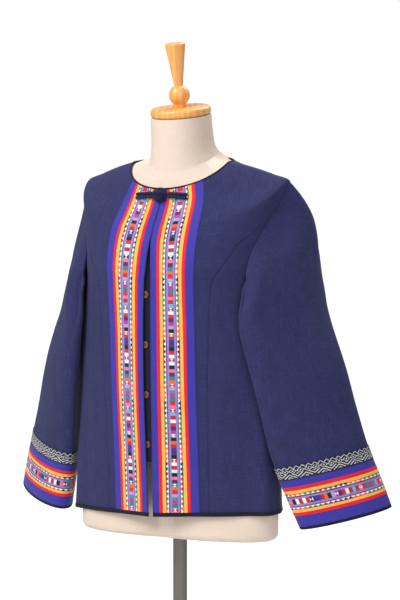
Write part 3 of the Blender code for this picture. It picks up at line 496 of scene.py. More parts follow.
def angle_step(angle, level, distance):
    """The change of angle that crosses a distance on the cloth."""
    small = 1e-3
    length = np.linalg.norm(body_point(angle + small, level) - body_point(angle, level), axis=-1)
    return distance * small / length


def side_edge(level, forwards):
    """The outer edge of a front or of the back: side seam, armhole, then shoulder seam."""
    half_seam = angle_step(math.pi / 2, level, SEAM / 2)
    in_armhole = (level > ARMPIT) & (level < TIP)
    edge = np.where(in_armhole, armhole_edge(level, forwards), math.pi / 2)
    return edge + (-half_seam if forwards else half_seam)


def ribbon_angles(levels, shares):
    """Angles at shares of the ribbon's width, which runs straight down the front."""
    start = smooth(HALF_OPENING, levels)[:, None]
    width = smooth(RIBBON_EDGE, levels)[:, None] - start
    return angle_of_x(start + width * shares, levels[:, None])


def spread(count):
    """Shares from 0 to 1, closer together near both ends: (1 - cos) / 2 blended with even steps."""
    even = np.linspace(0, 1, count + 1)
    return 0.35 * even + 0.65 * (1 - np.cos(math.pi * even)) / 2


def to_neck(angles, levels, distance):
    """Row levels as a grid, with the last row a distance below the neckline."""
    grid = np.repeat(levels[:, None], angles.shape[1], axis=1)
    grid[-1] = neck_level(angles[-1], distance)
    return grid


def front_grid():
    """Angles of the left front, from its opening to its seam, armhole and shoulder seam."""
    levels = cloth_levels()
    ribbon = ribbon_angles(levels, np.linspace(0, 1, 15))
    seam = panel_seam(levels)
    seam_edge = seam - angle_step(seam, levels, SEAM / 2)
    edge = np.where(levels < SEAM_END - 0.01, seam_edge, side_edge(levels, True))
    at_end = np.abs(levels - SEAM_END) < 0.01
    edge = np.where(at_end, side_edge(levels, True) - angle_step(seam, levels, 3 * SEAM), edge)
    rest = ribbon[:, -1:] + (edge[:, None] - ribbon[:, -1:]) * spread(22)[1:]
    return np.concatenate([ribbon, rest], axis=1), levels


def side_grid():
    """Angles of the left side front, from the panel seam to the side seam and armhole."""
    levels = cloth_levels()
    levels = levels[levels < SEAM_END + 0.01]
    seam = panel_seam(levels)
    start = seam + angle_step(seam, levels, SEAM / 2)
    edge = side_edge(levels, True)
    start[-1] = edge[-1] - angle_step(edge[-1], levels[-1], 2 * SEAM)
    return start[:, None] + (edge - start)[:, None] * spread(26), levels


def back_grid():
    """Angles of the back, from the left side seam round to the right one."""
    levels = cloth_levels()
    left = side_edge(levels, False)
    return left[:, None] + (2 * math.pi - 2 * left)[:, None] * spread(96), levels


def sleeve_rings(turn, level):
    """Two half ellipses between the outer and the inner fold, square to the sleeve's middle line."""
    ring = read_table(SLEEVE_RINGS, SLEEVE_COLUMNS, level)
    outer = np.stack([ring["outer_x"], ring["outer_y"], ring["outer_z"]], -1)
    inner = np.stack([ring["inner_x"], ring["inner_y"], ring["inner_z"]], -1)
    half = (outer - inner) / 2
    small = 0.05
    ends = [read_table(SLEEVE_RINGS, SLEEVE_COLUMNS, level + move) for move in (-small, small)]
    before, after = (
        np.stack([(end["outer_" + axis] + end["inner_" + axis]) / 2 for axis in "xyz"], -1)
        for end in ends
    )
    ahead = unit(np.cross(after - before, half))
    depth = np.where(np.sin(turn) > 0, ring["out_depth"], ring["in_depth"])[..., None]
    across, out = np.cos(turn)[..., None], np.sin(turn)[..., None]
    return (outer + inner) / 2 - half * across + ahead * depth * out


def clear_of_body(point, level):
    """Points moved straight out from the body's axis until they keep their least space from it."""
    x, height = np.abs(point[..., 0]), point[..., 2]
    low, high = np.zeros(x.shape), np.full(x.shape, TIP)
    for _ in range(24):
        middle = (low + high) / 2
        ring = read_table(BODY_RINGS, BODY_COLUMNS, middle)
        y = point[..., 1] - ring["centre_y"]
        depth = np.where(y < 0, ring["front"], ring["back"])
        across, ahead = x / ring["half_width"], -y / depth
        under = ring_height(ring, ahead / np.hypot(across, ahead)) < height
        low, high = np.where(under, middle, low), np.where(under, high, middle)
    power = ring["square"]
    size = (across**power + np.abs(ahead) ** power) ** (1 / power)
    from_axis = np.hypot(x, y)
    space = from_axis * (1 - 1 / size)
    armpit = BODY_RINGS["armpit"][BODY_COLUMNS.index("z_side")]
    least = np.interp(height, (armpit - 0.080, armpit - 0.010, armpit + 0.020), SLEEVE_CLEARS)
    soft = 0.003
    wanted = least + soft * np.logaddexp(0, (space - least) / soft)
    reached = ease_in(level / 0.6) * ease_in((BODY_RINGS["blade"][4] - height) / 0.050)
    move = (wanted - space) * reached / from_axis
    return point + np.stack([point[..., 0] * move, y * move, 0 * x], -1)


def sleeve_point(turn, level):
    """The armhole's own outline at ring 0, fading into the sleeve's ellipses."""
    turn, level = np.broadcast_arrays(np.asarray(turn, float), np.asarray(level, float))
    angle, body_level = armhole(turn, 1 + 2 * SEAM / 0.085)
    start = body_point(angle, body_level) + body_normal(angle, body_level) * CAP_PROUD
    fade = 1 - ease_in(level / CAP_FADE)
    own = turn - SLEEVE_TURN
    shift = start - sleeve_rings(own, np.zeros_like(level))
    return clear_of_body(sleeve_rings(own, level) + shift * fade[..., None], level)


def sleeve_normal(turn, level):
    """The cross product of the sleeve's two small differences, made one long."""
    step = 1e-3
    level = np.maximum(level, CAP_EDGE)
    around = sleeve_point(turn + step, level) - sleeve_point(turn - step, level)
    along = sleeve_point(turn, level + step) - sleeve_point(turn, level - step)
    return unit(np.cross(along, around))


def sleeve_folds(turn, level):
    """Large folds, finer creases, a slow ripple down the sleeve, and a rounded fullness at its cap."""
    ripple = np.sin(2 * turn + 2.1 * level) * np.sin(3.1 * level + 0.4) * ease_in(level - 0.8)
    height = 0.0007 * ripple * ease_in((CUFF - 0.6 - level) / 1.2)
    away = (turn % (2 * math.pi) - math.pi) / CAP_REACH
    full = np.sin(math.pi * np.clip(level / 1.6, 0, 1) ** 0.85)
    height = height + CAP_FULL * np.exp(-(away**2)) * full
    return height + along_line(SLEEVE_FOLDS, turn, level) + along_line(SLEEVE_CREASES, turn, level)


def on_sleeve(turn, level, lift):
    """The sleeve's point moved along its normal by the folds and by lift."""
    off = sleeve_folds(turn, level) + lift
    return sleeve_point(turn, level) + sleeve_normal(turn, level) * off[..., None]


def sleeve_level(distance):
    """The ring number a distance up the sleeve from the cuff."""
    return CUFF - distance / FOREARM_TO_CUFF


def level_at(x, height):
    """The ring number at which the front has this height, found by halving."""
    x, height = np.broadcast_arrays(np.asarray(x, float), np.asarray(height, float))
    low, high = np.zeros(x.shape), np.full(x.shape, NECK)
    for _ in range(40):
        middle = (low + high) / 2
        under = body_point(angle_of_x(x, middle), middle)[..., 2] < height
        low, high = np.where(under, middle, low), np.where(under, high, middle)
    return (low + high) / 2


def on_front(x, height, lift):
    """Points on the front at x and height, moved out by lift."""
    level = level_at(x, height)
    return on_body(angle_of_x(x, level), level, np.asarray(lift, float) + np.zeros(level.shape))


def strip_lift(x):
    """Level on the left, and sinking by an eased step behind the right front's edge."""
    return -CLOTH - SEAM - STRIP_SINK * ease_in((STRIP_BEND - x) / STRIP_BEND)


# Meshes


def outwards(mesh, join=None):
    """Turn a mesh's faces outwards, after joining the points that lie nearer than join."""
    made = bmesh.new()
    made.from_mesh(mesh)
    if join:
        bmesh.ops.remove_doubles(made, verts=made.verts, dist=join)
    bmesh.ops.recalc_face_normals(made, faces=made.faces)
    made.to_mesh(mesh)
    made.free()


def placed(mesh, material):
    """The scene's object for a mesh, with its material."""
    mesh.materials.append(material)
    thing = bpy.data.objects.new(mesh.name, mesh)
    bpy.context.scene.collection.objects.link(thing)
    return thing


def add_mesh(name, points, faces, corner_uv, material, sharp=35.0):
    """A mesh from arrays, its normals turned outwards, and its edges past an angle left sharp."""
    mesh = bpy.data.meshes.new(name)
    size = faces.shape[1]
    mesh.vertices.add(len(points))
    mesh.vertices.foreach_set("co", np.asarray(points, np.float32).ravel())
    mesh.loops.add(faces.size)
    mesh.loops.foreach_set("vertex_index", faces.ravel().astype(np.int32))
    mesh.polygons.add(len(faces))
    mesh.polygons.foreach_set("loop_start", np.arange(len(faces), dtype=np.int32) * size)
    mesh.polygons.foreach_set("loop_total", np.full(len(faces), size, np.int32))
    mesh.update(calc_edges=True)
    layer = mesh.uv_layers.new(name="UVMap")
    layer.data.foreach_set("uv", np.asarray(corner_uv, np.float32).ravel())
    outwards(mesh)
    mesh.shade_smooth()
    mesh.set_sharp_from_angle(angle=math.radians(sharp))
    return placed(mesh, material)


def quads(rows, columns, closed):
    """Corner rows and columns of each cell of a grid, as two arrays of four."""
    last = columns if closed else columns - 1
    row, column = np.meshgrid(np.arange(rows - 1), np.arange(last), indexing="ij")
    row, column = row.ravel(), column.ravel()
    return np.stack([row, row, row + 1, row + 1], 1), np.stack([column, column + 1, column + 1, column], 1)


def length_uv(grid, closed, reference=0):
    """Lengths along each row from a reference column, and along that column, in metres."""
    if closed:
        grid = np.concatenate([grid, grid[:, :1]], axis=1)
    across = np.linalg.norm(np.diff(grid, axis=1), axis=-1)
    across = np.concatenate([np.zeros((len(grid), 1)), np.cumsum(across, axis=1)], axis=1)
    across = across - across[:, reference : reference + 1]
    up = np.linalg.norm(np.diff(grid[:, reference], axis=0), axis=-1)
    up = np.concatenate([[0], np.cumsum(up)])
    return np.stack([across, np.repeat(up[:, None], grid.shape[1], axis=1)], -1)


def wall(name, outer, inner, material, uv=None, closed=False):
    """A thin closed wall between two grids of points, its rims filled. A closed grid is a tube."""
    rows, columns = outer.shape[:2]
    if uv is None:
        uv = length_uv(outer, closed)
    row, column = quads(rows, columns, closed)
    outside = row * columns + column % columns
    outside_uv = uv[row, column]
    count = rows * columns
    faces, corners = [outside, outside[:, ::-1] + count], [outside_uv, outside_uv[:, ::-1]]
    around = np.arange(columns + 1 if closed else columns)
    edges = [(np.full(around.shape, r), around) for r in (0, rows - 1)]
    if not closed:
        up = np.arange(rows)
        edges += [(up, np.full(rows, c)) for c in (0, columns - 1)]
    for r, c in edges:
        index = r * columns + c % columns
        a, b = index[:-1], index[1:]
        faces.append(np.stack([a, b, b + count, a + count], 1))
        edge_uv = uv[r, c]
        corners.append(np.stack([edge_uv[:-1], edge_uv[1:], edge_uv[1:], edge_uv[:-1]], 1))
    points = np.concatenate([outer.reshape(-1, 3), inner.reshape(-1, 3)])
    return add_mesh(name, points, np.concatenate(faces), np.concatenate(corners), material)


def skin(name, grid, material, sharp=50.0):
    """A closed body from rings of points, with its ends filled by cells that meet at their middles."""
    ends = [np.repeat(ring.mean(0)[None], len(ring), 0) for ring in (grid[0], grid[-1])]
    uv = length_uv(grid, True)
    grid = np.concatenate([ends[0][None], grid, ends[1][None]])
    uv = np.concatenate([uv[:1] - [0, 0.01], uv, uv[-1:] + [0, 0.01]])
    rows, columns = grid.shape[:2]
    row, column = quads(rows, columns, True)
    faces = row * columns + column % columns
    thing = add_mesh(name, grid.reshape(-1, 3), faces, uv[row, column], material, sharp)
    outwards(thing.data, join=1e-6)
    return thing


def cord_ring(name, grid, material):
    """A closed ring of cord: the last circle joins the first, whose points it meets."""
    rows, columns = grid.shape[:2]
    row, column = quads(rows + 1, columns, True)
    faces = (row % rows) * columns + column % columns
    shift = int(np.argmin(np.linalg.norm(grid[0] - grid[-1][0], axis=-1)))
    last = row[:, 2:] == rows
    faces[:, 2:] = np.where(last, (column[:, 2:] + shift) % columns, faces[:, 2:])
    uv = np.stack([column * 0.0012, row * 0.0006], -1)
    return add_mesh(name, grid.reshape(-1, 3), faces, uv, material, SOFT_EDGE)


def turned(profile, sides, place=(0, 0, 0), lean=0.0, spin=0.0):
    """Radius and height pairs turned round an axis, leant forwards, turned and put in place."""
    turns = np.arange(sides) * 2 * math.pi / sides
    radius, height = np.array(profile).T
    x = radius[:, None] * np.cos(turns)
    y = radius[:, None] * np.sin(turns)
    z = height[:, None] + 0 * turns
    y, z = y * math.cos(lean) - z * math.sin(lean), y * math.sin(lean) + z * math.cos(lean)
    x, y = x * math.cos(spin) - y * math.sin(spin), x * math.sin(spin) + y * math.cos(spin)
    return np.stack([x, y, z], -1) + np.asarray(place, float)


def arc(centre_radius, centre_height, radius, start, end, steps):
    """Radius and height pairs along an arc, from a start to an end in degrees."""
    turns = np.radians(np.linspace(start, end, steps))
    return [(centre_radius + radius * math.cos(t), centre_height + radius * math.sin(t)) for t in turns]


def circles(line, out, side, radius, sides):
    """A circle round each point of a line, in the plane of two directions square to the line."""
    turns = np.arange(sides) * 2 * math.pi / sides
    ring = out[:, None] * np.cos(turns)[None, :, None] + side[:, None] * np.sin(turns)[None, :, None]
    return line[:, None] + ring * radius


def rounded_tube(line, radius, sides=14):
    """A tube along a line, with a few smaller circles past each end that close it roundly."""
    ahead = unit(np.gradient(line, axis=0))
    side = unit(np.cross(ahead, np.broadcast_to(FORWARDS, line.shape)))
    grid = circles(line, np.cross(side, ahead), side, radius, sides)
    caps = []
    for end, way in ((0, -1.0), (-1, 1.0)):
        circle, along = grid[end] - line[end], way * ahead[end] * radius * 0.6
        turns = np.radians((25.0, 50.0, 72.0, 86.0))
        caps.append([line[end] + circle * math.cos(t) + along * math.sin(t) for t in turns])
    return np.concatenate([np.array(caps[0][::-1]), grid, np.array(caps[1])])


def stitch_row(points, normals, length, gap, thick):
    """Short rounded bars along a line, sunk at both ends: rings of five points on a half sine."""
    run = np.concatenate([[0], np.cumsum(np.linalg.norm(np.diff(points, axis=0), axis=-1))])
    count = max(1, int(run[-1] / (length + gap)))
    starts = (np.arange(count) + 0.5) * run[-1] / count - length / 2
    t = np.linspace(0, 1, 5)
    at = starts[:, None] + length * t
    centre = np.stack([np.interp(at, run, points[:, axis]) for axis in range(3)], -1)
    normal = unit(np.stack([np.interp(at, run, normals[:, axis]) for axis in range(3)], -1))
    ahead = unit(np.gradient(centre, axis=1))
    side = np.cross(normal, ahead)
    turns = np.arange(5) * 2 * math.pi / 5
    size = thick * np.sqrt(np.clip(np.sin(math.pi * (0.08 + 0.84 * t)), 0, 1))
    rise = (np.sin(math.pi * t) * 0.9 - 0.3) * thick
    centre = centre + normal * rise[None, :, None]
    ring = normal[:, :, None] * np.cos(turns)[:, None] + side[:, :, None] * np.sin(turns)[:, None]
    return centre[:, :, None] + ring * size[None, :, None, None]


def stitch_object(name, rows):
    """All the stitches of a piece as one mesh of closed bars, in sewing thread."""
    bars = np.concatenate(rows)
    count, rings, sides = bars.shape[:3]
    row, column = quads(rings, sides, True)
    first = np.arange(count)[:, None] * rings * sides
    faces = (first[:, :, None] + row * sides + column % sides).reshape(-1, 4)
    ends = [first + ring * sides for ring in (0, rings - 1)]
    faces = np.concatenate([faces, *(end + [0, 1, 2, 3] for end in ends)])
    triangles = np.concatenate([end + [0, 3, 4] for end in ends])
    mesh = bpy.data.meshes.new(name)
    mesh.from_pydata(bars.reshape(-1, 3), [], [*faces.tolist(), *triangles.tolist()])
    mesh.uv_layers.new(name="UVMap")
    outwards(mesh)
    mesh.shade_smooth()
    return placed(mesh, look("thread"))


def finished(piece, slot, *nodes):
    """The piece rides with the part and stands for its nodes; its slot is not used."""
    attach(piece, "root")
    if nodes:
        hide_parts(*nodes)


# Materials


class Tree:
    """A node tree, with short ways to add its nodes and link them."""

    def __init__(self, tree):
        self.tree = tree

    def add(self, kind, inputs=None, **values):
        """A node with its settings, its inputs set or linked."""
        node = self.tree.nodes.new(kind)
        for name, value in values.items():
            setattr(node, name, value)
        for name, value in (inputs or {}).items():
            self.put(node.inputs[name], value)
        return node

    def put(self, socket, value):
        """Link an output to a socket, or set the socket's own value."""
        if isinstance(value, bpy.types.NodeSocket):
            self.tree.links.new(value, socket)
        else:
            socket.default_value = value

    def math(self, operation, *values, clamp=False):
        """The output of one Math node."""
        node = self.add("ShaderNodeMath", operation=operation, use_clamp=clamp)
        for socket, value in zip(node.inputs, values):
            self.put(socket, value)
        return node.outputs[0]

    def times(self, first, second):
        """The product of two values."""
        return self.math("MULTIPLY", first, second)

    def off(self, value, target):
        """How far a value lies from a target, without its sign."""
        return self.math("ABSOLUTE", self.math("SUBTRACT", value, target))

    def near(self, value, target, reach):
        """1 where a value lies within reach of a target, else 0."""
        return self.math("LESS_THAN", self.off(value, target), reach)

    def between(self, value, low, high):
        """1 where a value lies between low and high, else 0."""
        return self.times(self.math("GREATER_THAN", value, low), self.math("LESS_THAN", value, high))

    def place_in(self, value, length):
        """0 to 1 along a value, again and again, once every length."""
        return self.math("FRACT", self.math("DIVIDE", value, length))

    def there_and_back(self, value, length):
        """0 to 1 and back along a value, once every length."""
        return self.math("DIVIDE", self.math("PINGPONG", value, length / 2), length / 2)

    def mix(self, share, first, second, blend="MIX"):
        """One colour towards another by a share."""
        node = self.add("ShaderNodeMix", data_type="RGBA", blend_type=blend)
        for socket, value in ((0, share), (6, first), (7, second)):
            self.put(node.inputs[socket], value)
        return node.outputs[2]

    def steps(self, value, stops):
        """Flat colours one after another, from (position, colour) pairs."""
        node = self.add("ShaderNodeValToRGB", {"Fac": value})
        ramp = node.color_ramp
        ramp.interpolation = "CONSTANT"
        while len(ramp.elements) < len(stops):
            ramp.elements.new(0.5)
        for element, (position, colour) in zip(ramp.elements, stops):
            element.position = position
            element.color = colour
        return node.outputs["Color"]

    def noise(self, vector, scale, detail=3.0, rough=0.55):
        """Blender's own fractal noise."""
        inputs = {"Vector": vector, "Scale": scale, "Detail": detail, "Roughness": rough}
        return self.add("ShaderNodeTexNoise", inputs).outputs["Fac"]

    def scaled(self, vector, *scale):
        """A vector with its axes scaled apart, for streaky noise."""
        return self.add("ShaderNodeMapping", {"Vector": vector, "Scale": scale}).outputs[0]

    def parts(self, vector):
        """A vector's three numbers."""
        return self.add("ShaderNodeSeparateXYZ", {"Vector": vector}).outputs

    def place(self, kind):
        """The piece's own UV, in metres, or its Object coordinates."""
        return self.add("ShaderNodeTexCoord").outputs[kind]

    def bump(self, shader, height, strength, distance):
        """Bump from a height, put on a shader's normal."""
        inputs = {"Height": height, "Strength": strength, "Distance": distance}
        self.put(shader.inputs["Normal"], self.add("ShaderNodeBump", inputs).outputs[0])


def node_group(name, inputs, outputs):
    """An empty shader node group with the sockets named, and its input and output nodes."""
    group = bpy.data.node_groups.new(name, "ShaderNodeTree")
    for kind, entries in (("INPUT", inputs), ("OUTPUT", outputs)):
        for label, socket, value in entries:
            made = group.interface.new_socket(name=label, in_out=kind, socket_type="NodeSocket" + socket)
            if value is not None:
                made.default_value = value
    tree = Tree(group)
    return tree, tree.add("NodeGroupInput"), tree.add("NodeGroupOutput")


def weave_group():
    """Plain weave: warp and weft ridges over one another, with slubs, thick and thin along threads."""
    inputs = (("Cloth", "Vector", None), ("Threads per metre", "Float", 1400.0), ("Slubs", "Float", 0.5))
    outputs = (("Height", "Float", None), ("Shade", "Float", None))
    tree, start, end = node_group("Weave", inputs, outputs)
    cloth, threads, slubs = start.outputs[:3]
    waves = [
        tree.math("SINE", tree.times(tree.times(side, threads), math.pi)) for side in tree.parts(cloth)[:2]
    ]
    weave = tree.math("MULTIPLY_ADD", tree.times(*waves), 0.5, 0.5)
    across = tree.noise(tree.scaled(cloth, 42.0, 900.0, 1.0), 1.0, 2.0)
    along = tree.noise(tree.scaled(cloth, 900.0, 36.0, 1.0), 1.0, 2.0)
    streaks = tree.math("SUBTRACT", tree.math("MAXIMUM", across, along), 0.52)
    streaks = tree.math("MULTIPLY_ADD", streaks, 4.2, 0.2, clamp=True)
    cloudy = tree.times(tree.noise(cloth, 22.0, 2.0), 0.35)
    tree.put(end.inputs["Shade"], tree.math("MULTIPLY_ADD", streaks, slubs, cloudy))
    tree.put(end.inputs["Height"], tree.math("MULTIPLY_ADD", streaks, 0.8, tree.times(weave, 0.45)))
    return tree.tree


def fibre_group():
    """Fine dust and fibre ends: a small noise that lightens a few points of a cloth."""
    inputs = (("Place", "Vector", None), ("Amount", "Float", 0.2))
    tree, start, end = node_group("Fibre ends", inputs, (("Share", "Float", None),))
    specks = tree.noise(start.outputs["Place"], 620.0, 2.0, 0.7)
    share = tree.math("MULTIPLY", tree.math("SUBTRACT", specks, 0.6), 4.0, clamp=True)
    tree.put(end.inputs["Share"], tree.times(share, start.outputs["Amount"]))
    return tree.tree


def grain_group():
    """Wood grain: rings round the piece's axis, bent by noise, with fine pores along it."""
    inputs = (("Place", "Vector", None), ("Rings", "Float", 90.0))
    outputs = (("Grain", "Float", None), ("Pores", "Float", None))
    tree, start, end = node_group("Grain", inputs, outputs)
    place, rings = start.outputs[:2]
    x, y, _ = tree.parts(place)
    bend = tree.noise(tree.scaled(place, 14.0, 14.0, 4.0), 1.0)
    line = tree.math("MULTIPLY_ADD", y, 0.45, tree.math("MULTIPLY_ADD", bend, 0.030, x))
    wave = tree.math("SINE", tree.times(tree.times(line, rings), 6.283))
    tree.put(end.inputs["Grain"], tree.math("MULTIPLY_ADD", wave, 0.5, 0.5))
    tree.put(end.inputs["Pores"], tree.noise(tree.scaled(place, 1500.0, 1500.0, 70.0), 1.0, 2.0))
    return tree.tree


GROUP_MAKERS = {"Weave": weave_group, "Fibre ends": fibre_group, "Grain": grain_group}
GROUPS = {}


def group_node(tree, name, inputs):
    """A shared node group placed in a material with its own values."""
    if name not in GROUPS:
        GROUPS[name] = GROUP_MAKERS[name]()
    return tree.add("ShaderNodeGroup", inputs, node_tree=GROUPS[name])


def weave_node(tree, threads, slubs):
    """The weave in the piece's own UV."""
    inputs = {"Cloth": tree.place("UV"), "Threads per metre": threads, "Slubs": slubs}
    return group_node(tree, "Weave", inputs)


def new_material(name, roughness, **sockets):
    """A material with its Principled shader's plain values set, its tree, and the shader."""
    made = bpy.data.materials.new(name)
    made.use_nodes = True
    shader = made.node_tree.nodes["Principled BSDF"]
    shader.inputs["Roughness"].default_value = roughness
    for label, value in sockets.items():
        shader.inputs[label.replace("_", " ")].default_value = value
    return made, Tree(made.node_tree), shader


def plain_cloth(name):
    """A cloth of one colour: weave and slubs from a darker shade of it, and a little lint."""
    colour, threads, slubs, bump, lint, depth, sheen = CLOTHS[name]
    colour = (*getattr(bpy.context.scene.jacket_colours, colour), 1.0)
    dark = (*(c * depth for c in colour[:3]), 1.0)
    values = {"Specular_IOR_Level": 0.22, "Sheen_Weight": sheen, "Sheen_Roughness": 0.5}
    made, tree, shader = new_material(name, 0.88, **values)
    weave = weave_node(tree, threads, slubs)
    fibre = group_node(tree, "Fibre ends", {"Place": tree.place("UV"), "Amount": lint})
    shaded = tree.mix(weave.outputs["Shade"], dark, colour)
    tree.put(shader.inputs["Base Color"], tree.mix(fibre.outputs["Share"], shaded, LINT))
    tree.bump(shader, weave.outputs["Height"], 0.6, bump)
    return made


def pick(tree, value, names, length):
    """Colours one after another along value, each of them length long, repeating."""
    stops = [(number / len(names), THREADS[name]) for number, name in enumerate(names)]
    return tree.steps(tree.place_in(value, length * len(names)), stops)


def pieced_blocks(tree, share, along):
    """Pieced blocks with a dark seam between them, and a white hourglass in each seventh."""
    place = tree.place_in(along, BLOCK)
    gap = tree.math("LESS_THAN", place, 0.10)
    glass = tree.math("LESS_THAN", tree.off(share, 0.5), tree.times(tree.off(place, 0.5), 0.75))
    glass = tree.times(glass, tree.math("LESS_THAN", tree.place_in(along, BLOCK * 7), 1 / 7))
    piece = tree.mix(glass, pick(tree, along, BLOCK_COLOURS, BLOCK), THREADS["white"])
    return tree.mix(tree.times(gap, 0.75), piece, THREADS["ink"]), gap


def sewn_teeth(tree, share, along):
    """White triangles on grounds that change colour; share runs from their points to their feet."""
    ground = pick(tree, along, TOOTH_GROUNDS, TOOTH_GROUND_LENGTH)
    slope = tree.math("MULTIPLY_ADD", tree.there_and_back(along, TOOTH), 0.84, 0.20)
    return tree.mix(tree.math("GREATER_THAN", share, slope), ground, THREADS["white"])


def patchwork(name, bands, shift):
    """The patchwork: bands by the place across, teeth and blocks by the place along, and a weave."""
    made, tree, shader = new_material(name, 0.72, Specular_IOR_Level=0.3, Sheen_Weight=0.1)
    across, along, _ = tree.parts(tree.place("UV"))
    along = tree.math("ADD", along, shift)
    edges = np.cumsum([0.0] + [width / 1000 for width, _, _ in bands])
    total = float(edges[-1])
    stops = [
        (float(edge) / total, THREADS.get(kind, THREADS["periwinkle"]))
        for edge, (_, kind, _) in zip(edges, bands)
    ]
    colour = tree.steps(tree.math("DIVIDE", across, total), stops)
    seam = 0.0
    for (_, kind, _), start, end in zip(bands, edges.tolist(), edges[1:].tolist()):
        if kind in THREADS:
            continue
        here = tree.between(across, start, end)
        share = tree.math("DIVIDE", tree.math("SUBTRACT", across, start), end - start)
        if kind == "blocks":
            piece, gap = pieced_blocks(tree, share, along)
            seam = tree.times(gap, here)
        else:
            if kind == "teeth_out":
                share = tree.math("SUBTRACT", 1.0, share)
            piece = sewn_teeth(tree, share, along)
        colour = tree.mix(here, colour, piece)
    weave = weave_node(tree, 2000.0, 0.5)
    shade = tree.math("MULTIPLY_ADD", weave.outputs["Shade"], 0.35, 0.78)
    grey = tree.add("ShaderNodeCombineXYZ", {axis: shade for axis in "XYZ"})
    tree.put(shader.inputs["Base Color"], tree.mix(1.0, colour, grey.outputs[0], "MULTIPLY"))
    tree.bump(shader, tree.math("SUBTRACT", weave.outputs["Height"], tree.times(seam, 1.5)), 0.5, 0.0002)
    return made


def woven(name):
    """White on black: a zigzag, a row of dotted diamonds, then a broad zigzag of parallel lines."""
    made, tree, shader = new_material(name, 0.78, Specular_IOR_Level=0.3, Sheen_Weight=0.1)
    across, along, _ = tree.parts(tree.place("UV"))
    across = tree.math("DIVIDE", across, WOVEN_RIBBON)
    narrow = tree.math("MULTIPLY_ADD", tree.there_and_back(along, 0.0105), 0.19, 0.05)
    zigzag = tree.near(across, narrow, 0.030)
    diamond = tree.there_and_back(tree.math("ADD", along, 0.002), 0.0135)
    diamond = tree.math("ADD", diamond, tree.times(tree.off(across, 0.40), 5.4))
    dots = tree.math("MAXIMUM", tree.near(diamond, 0.94, 0.13), tree.math("LESS_THAN", diamond, 0.30))
    dots = tree.times(dots, tree.between(across, 0.26, 0.56))
    broad = tree.math("MULTIPLY_ADD", tree.there_and_back(along, 0.0290), -0.36, across)
    lines = tree.math("LESS_THAN", tree.math("FRACT", tree.times(broad, 5.0)), 0.38)
    lines = tree.times(lines, tree.between(across, 0.56, 0.94))
    lower = tree.math("MULTIPLY_ADD", tree.there_and_back(along, 0.0065), 0.10, 0.86)
    lines = tree.times(lines, tree.math("LESS_THAN", across, lower))
    white = tree.math("MAXIMUM", tree.math("MAXIMUM", zigzag, dots), lines)
    weave = weave_node(tree, 1800.0, 0.6)
    white = tree.times(white, tree.math("MULTIPLY_ADD", weave.outputs["Shade"], 0.4, 0.6))
    tree.put(shader.inputs["Base Color"], tree.mix(white, linear(26, 26, 46), linear(226, 226, 224)))
    tree.bump(shader, tree.math("MULTIPLY_ADD", white, 0.8, weave.outputs["Height"]), 0.6, 0.00025)
    return made


def turned_wood(name, light, dark, rings, roughness, coat):
    """Turned wood: grain between two colours, pores a little darker, under a thin varnish."""
    made, tree, shader = new_material(name, roughness, Coat_Weight=coat, Coat_Roughness=0.2)
    grain = group_node(tree, "Grain", {"Place": tree.place("Object"), "Rings": rings})
    colour = tree.mix(tree.times(grain.outputs["Grain"], 0.55), light, dark)
    pores = tree.math("MULTIPLY", tree.math("SUBTRACT", grain.outputs["Pores"], 0.55), 2.2, clamp=True)
    tree.put(shader.inputs["Base Color"], tree.mix(pores, colour, dark))
    tree.bump(shader, grain.outputs["Pores"], 0.25, 0.0002)
    return made


def satin_steel(name):
    """Satin steel: fine scratches round it, and cloudy handling marks in its roughness."""
    made, tree, shader = new_material(name, 0.35, Metallic=1.0)
    place = tree.place("Object")
    marks = tree.noise(place, 18.0, 4.0)
    colour = tree.mix(tree.times(marks, 0.5), linear(138, 130, 127), linear(98, 92, 90))
    tree.put(shader.inputs["Base Color"], colour)
    tree.put(shader.inputs["Roughness"], tree.math("MULTIPLY_ADD", marks, 0.25, 0.22))
    tree.bump(shader, tree.noise(tree.scaled(place, 60.0, 60.0, 2600.0), 1.0, 3.0), 0.12, 0.0001)
    return made


LOOKS = {}


def beech(name):
    """Light varnished wood, in the panel's colour."""
    light = (*bpy.context.scene.jacket_colours.wood, 1.0)
    return turned_wood(name, light, linear(214, 138, 66), 95.0, 0.42, 0.25)


def coconut(name):
    """Dark polished shell."""
    return turned_wood(name, linear(128, 84, 52), linear(58, 32, 20), 700.0, 0.35, 0.5)


def look(name):
    """The material of that name, made once."""
    if name not in LOOKS:
        ribbons = {"front_ribbon": (FRONT_BANDS, 0.0), "cuff_ribbon": (CUFF_BANDS, 0.011)}
        others = {"woven_ribbon": woven, "coconut": coconut, "beech": beech, "steel": satin_steel}
        if name in ribbons:
            LOOKS[name] = patchwork(name, *ribbons[name])
        else:
            LOOKS[name] = others.get(name, plain_cloth)(name)
    return LOOKS[name]


# Pieces


def seam_dip(grid, both):
    """How far cloth sinks beside its sewn sides: a Gaussian of the distance, puckered by a sine."""
    across = length_uv(grid, False)[..., 0]
    dip = np.exp(-(((across[:, -1:] - across) / DIP_REACH) ** 2))
    if both:
        dip = dip + np.exp(-((across / DIP_REACH) ** 2))
    pucker = 1 + 0.35 * np.sin(np.arange(len(grid)) * 1.9)[:, None]
    return -DIP_DEPTH * dip * pucker


def panel(name, node, angles, levels, side, both):
    """A cotton panel: the body's surface with its sewn sides drawn in a little."""
    angles = angles * side
    dip = seam_dip(body_point(angles, levels), both)
    outer, inner = on_body(angles, levels, dip), on_body(angles, levels, dip - CLOTH)
    uv = length_uv(outer, False, outer.shape[1] // 2)
    finished(wall(name, outer, inner, look("navy_cotton"), uv), "navy_cotton", node)


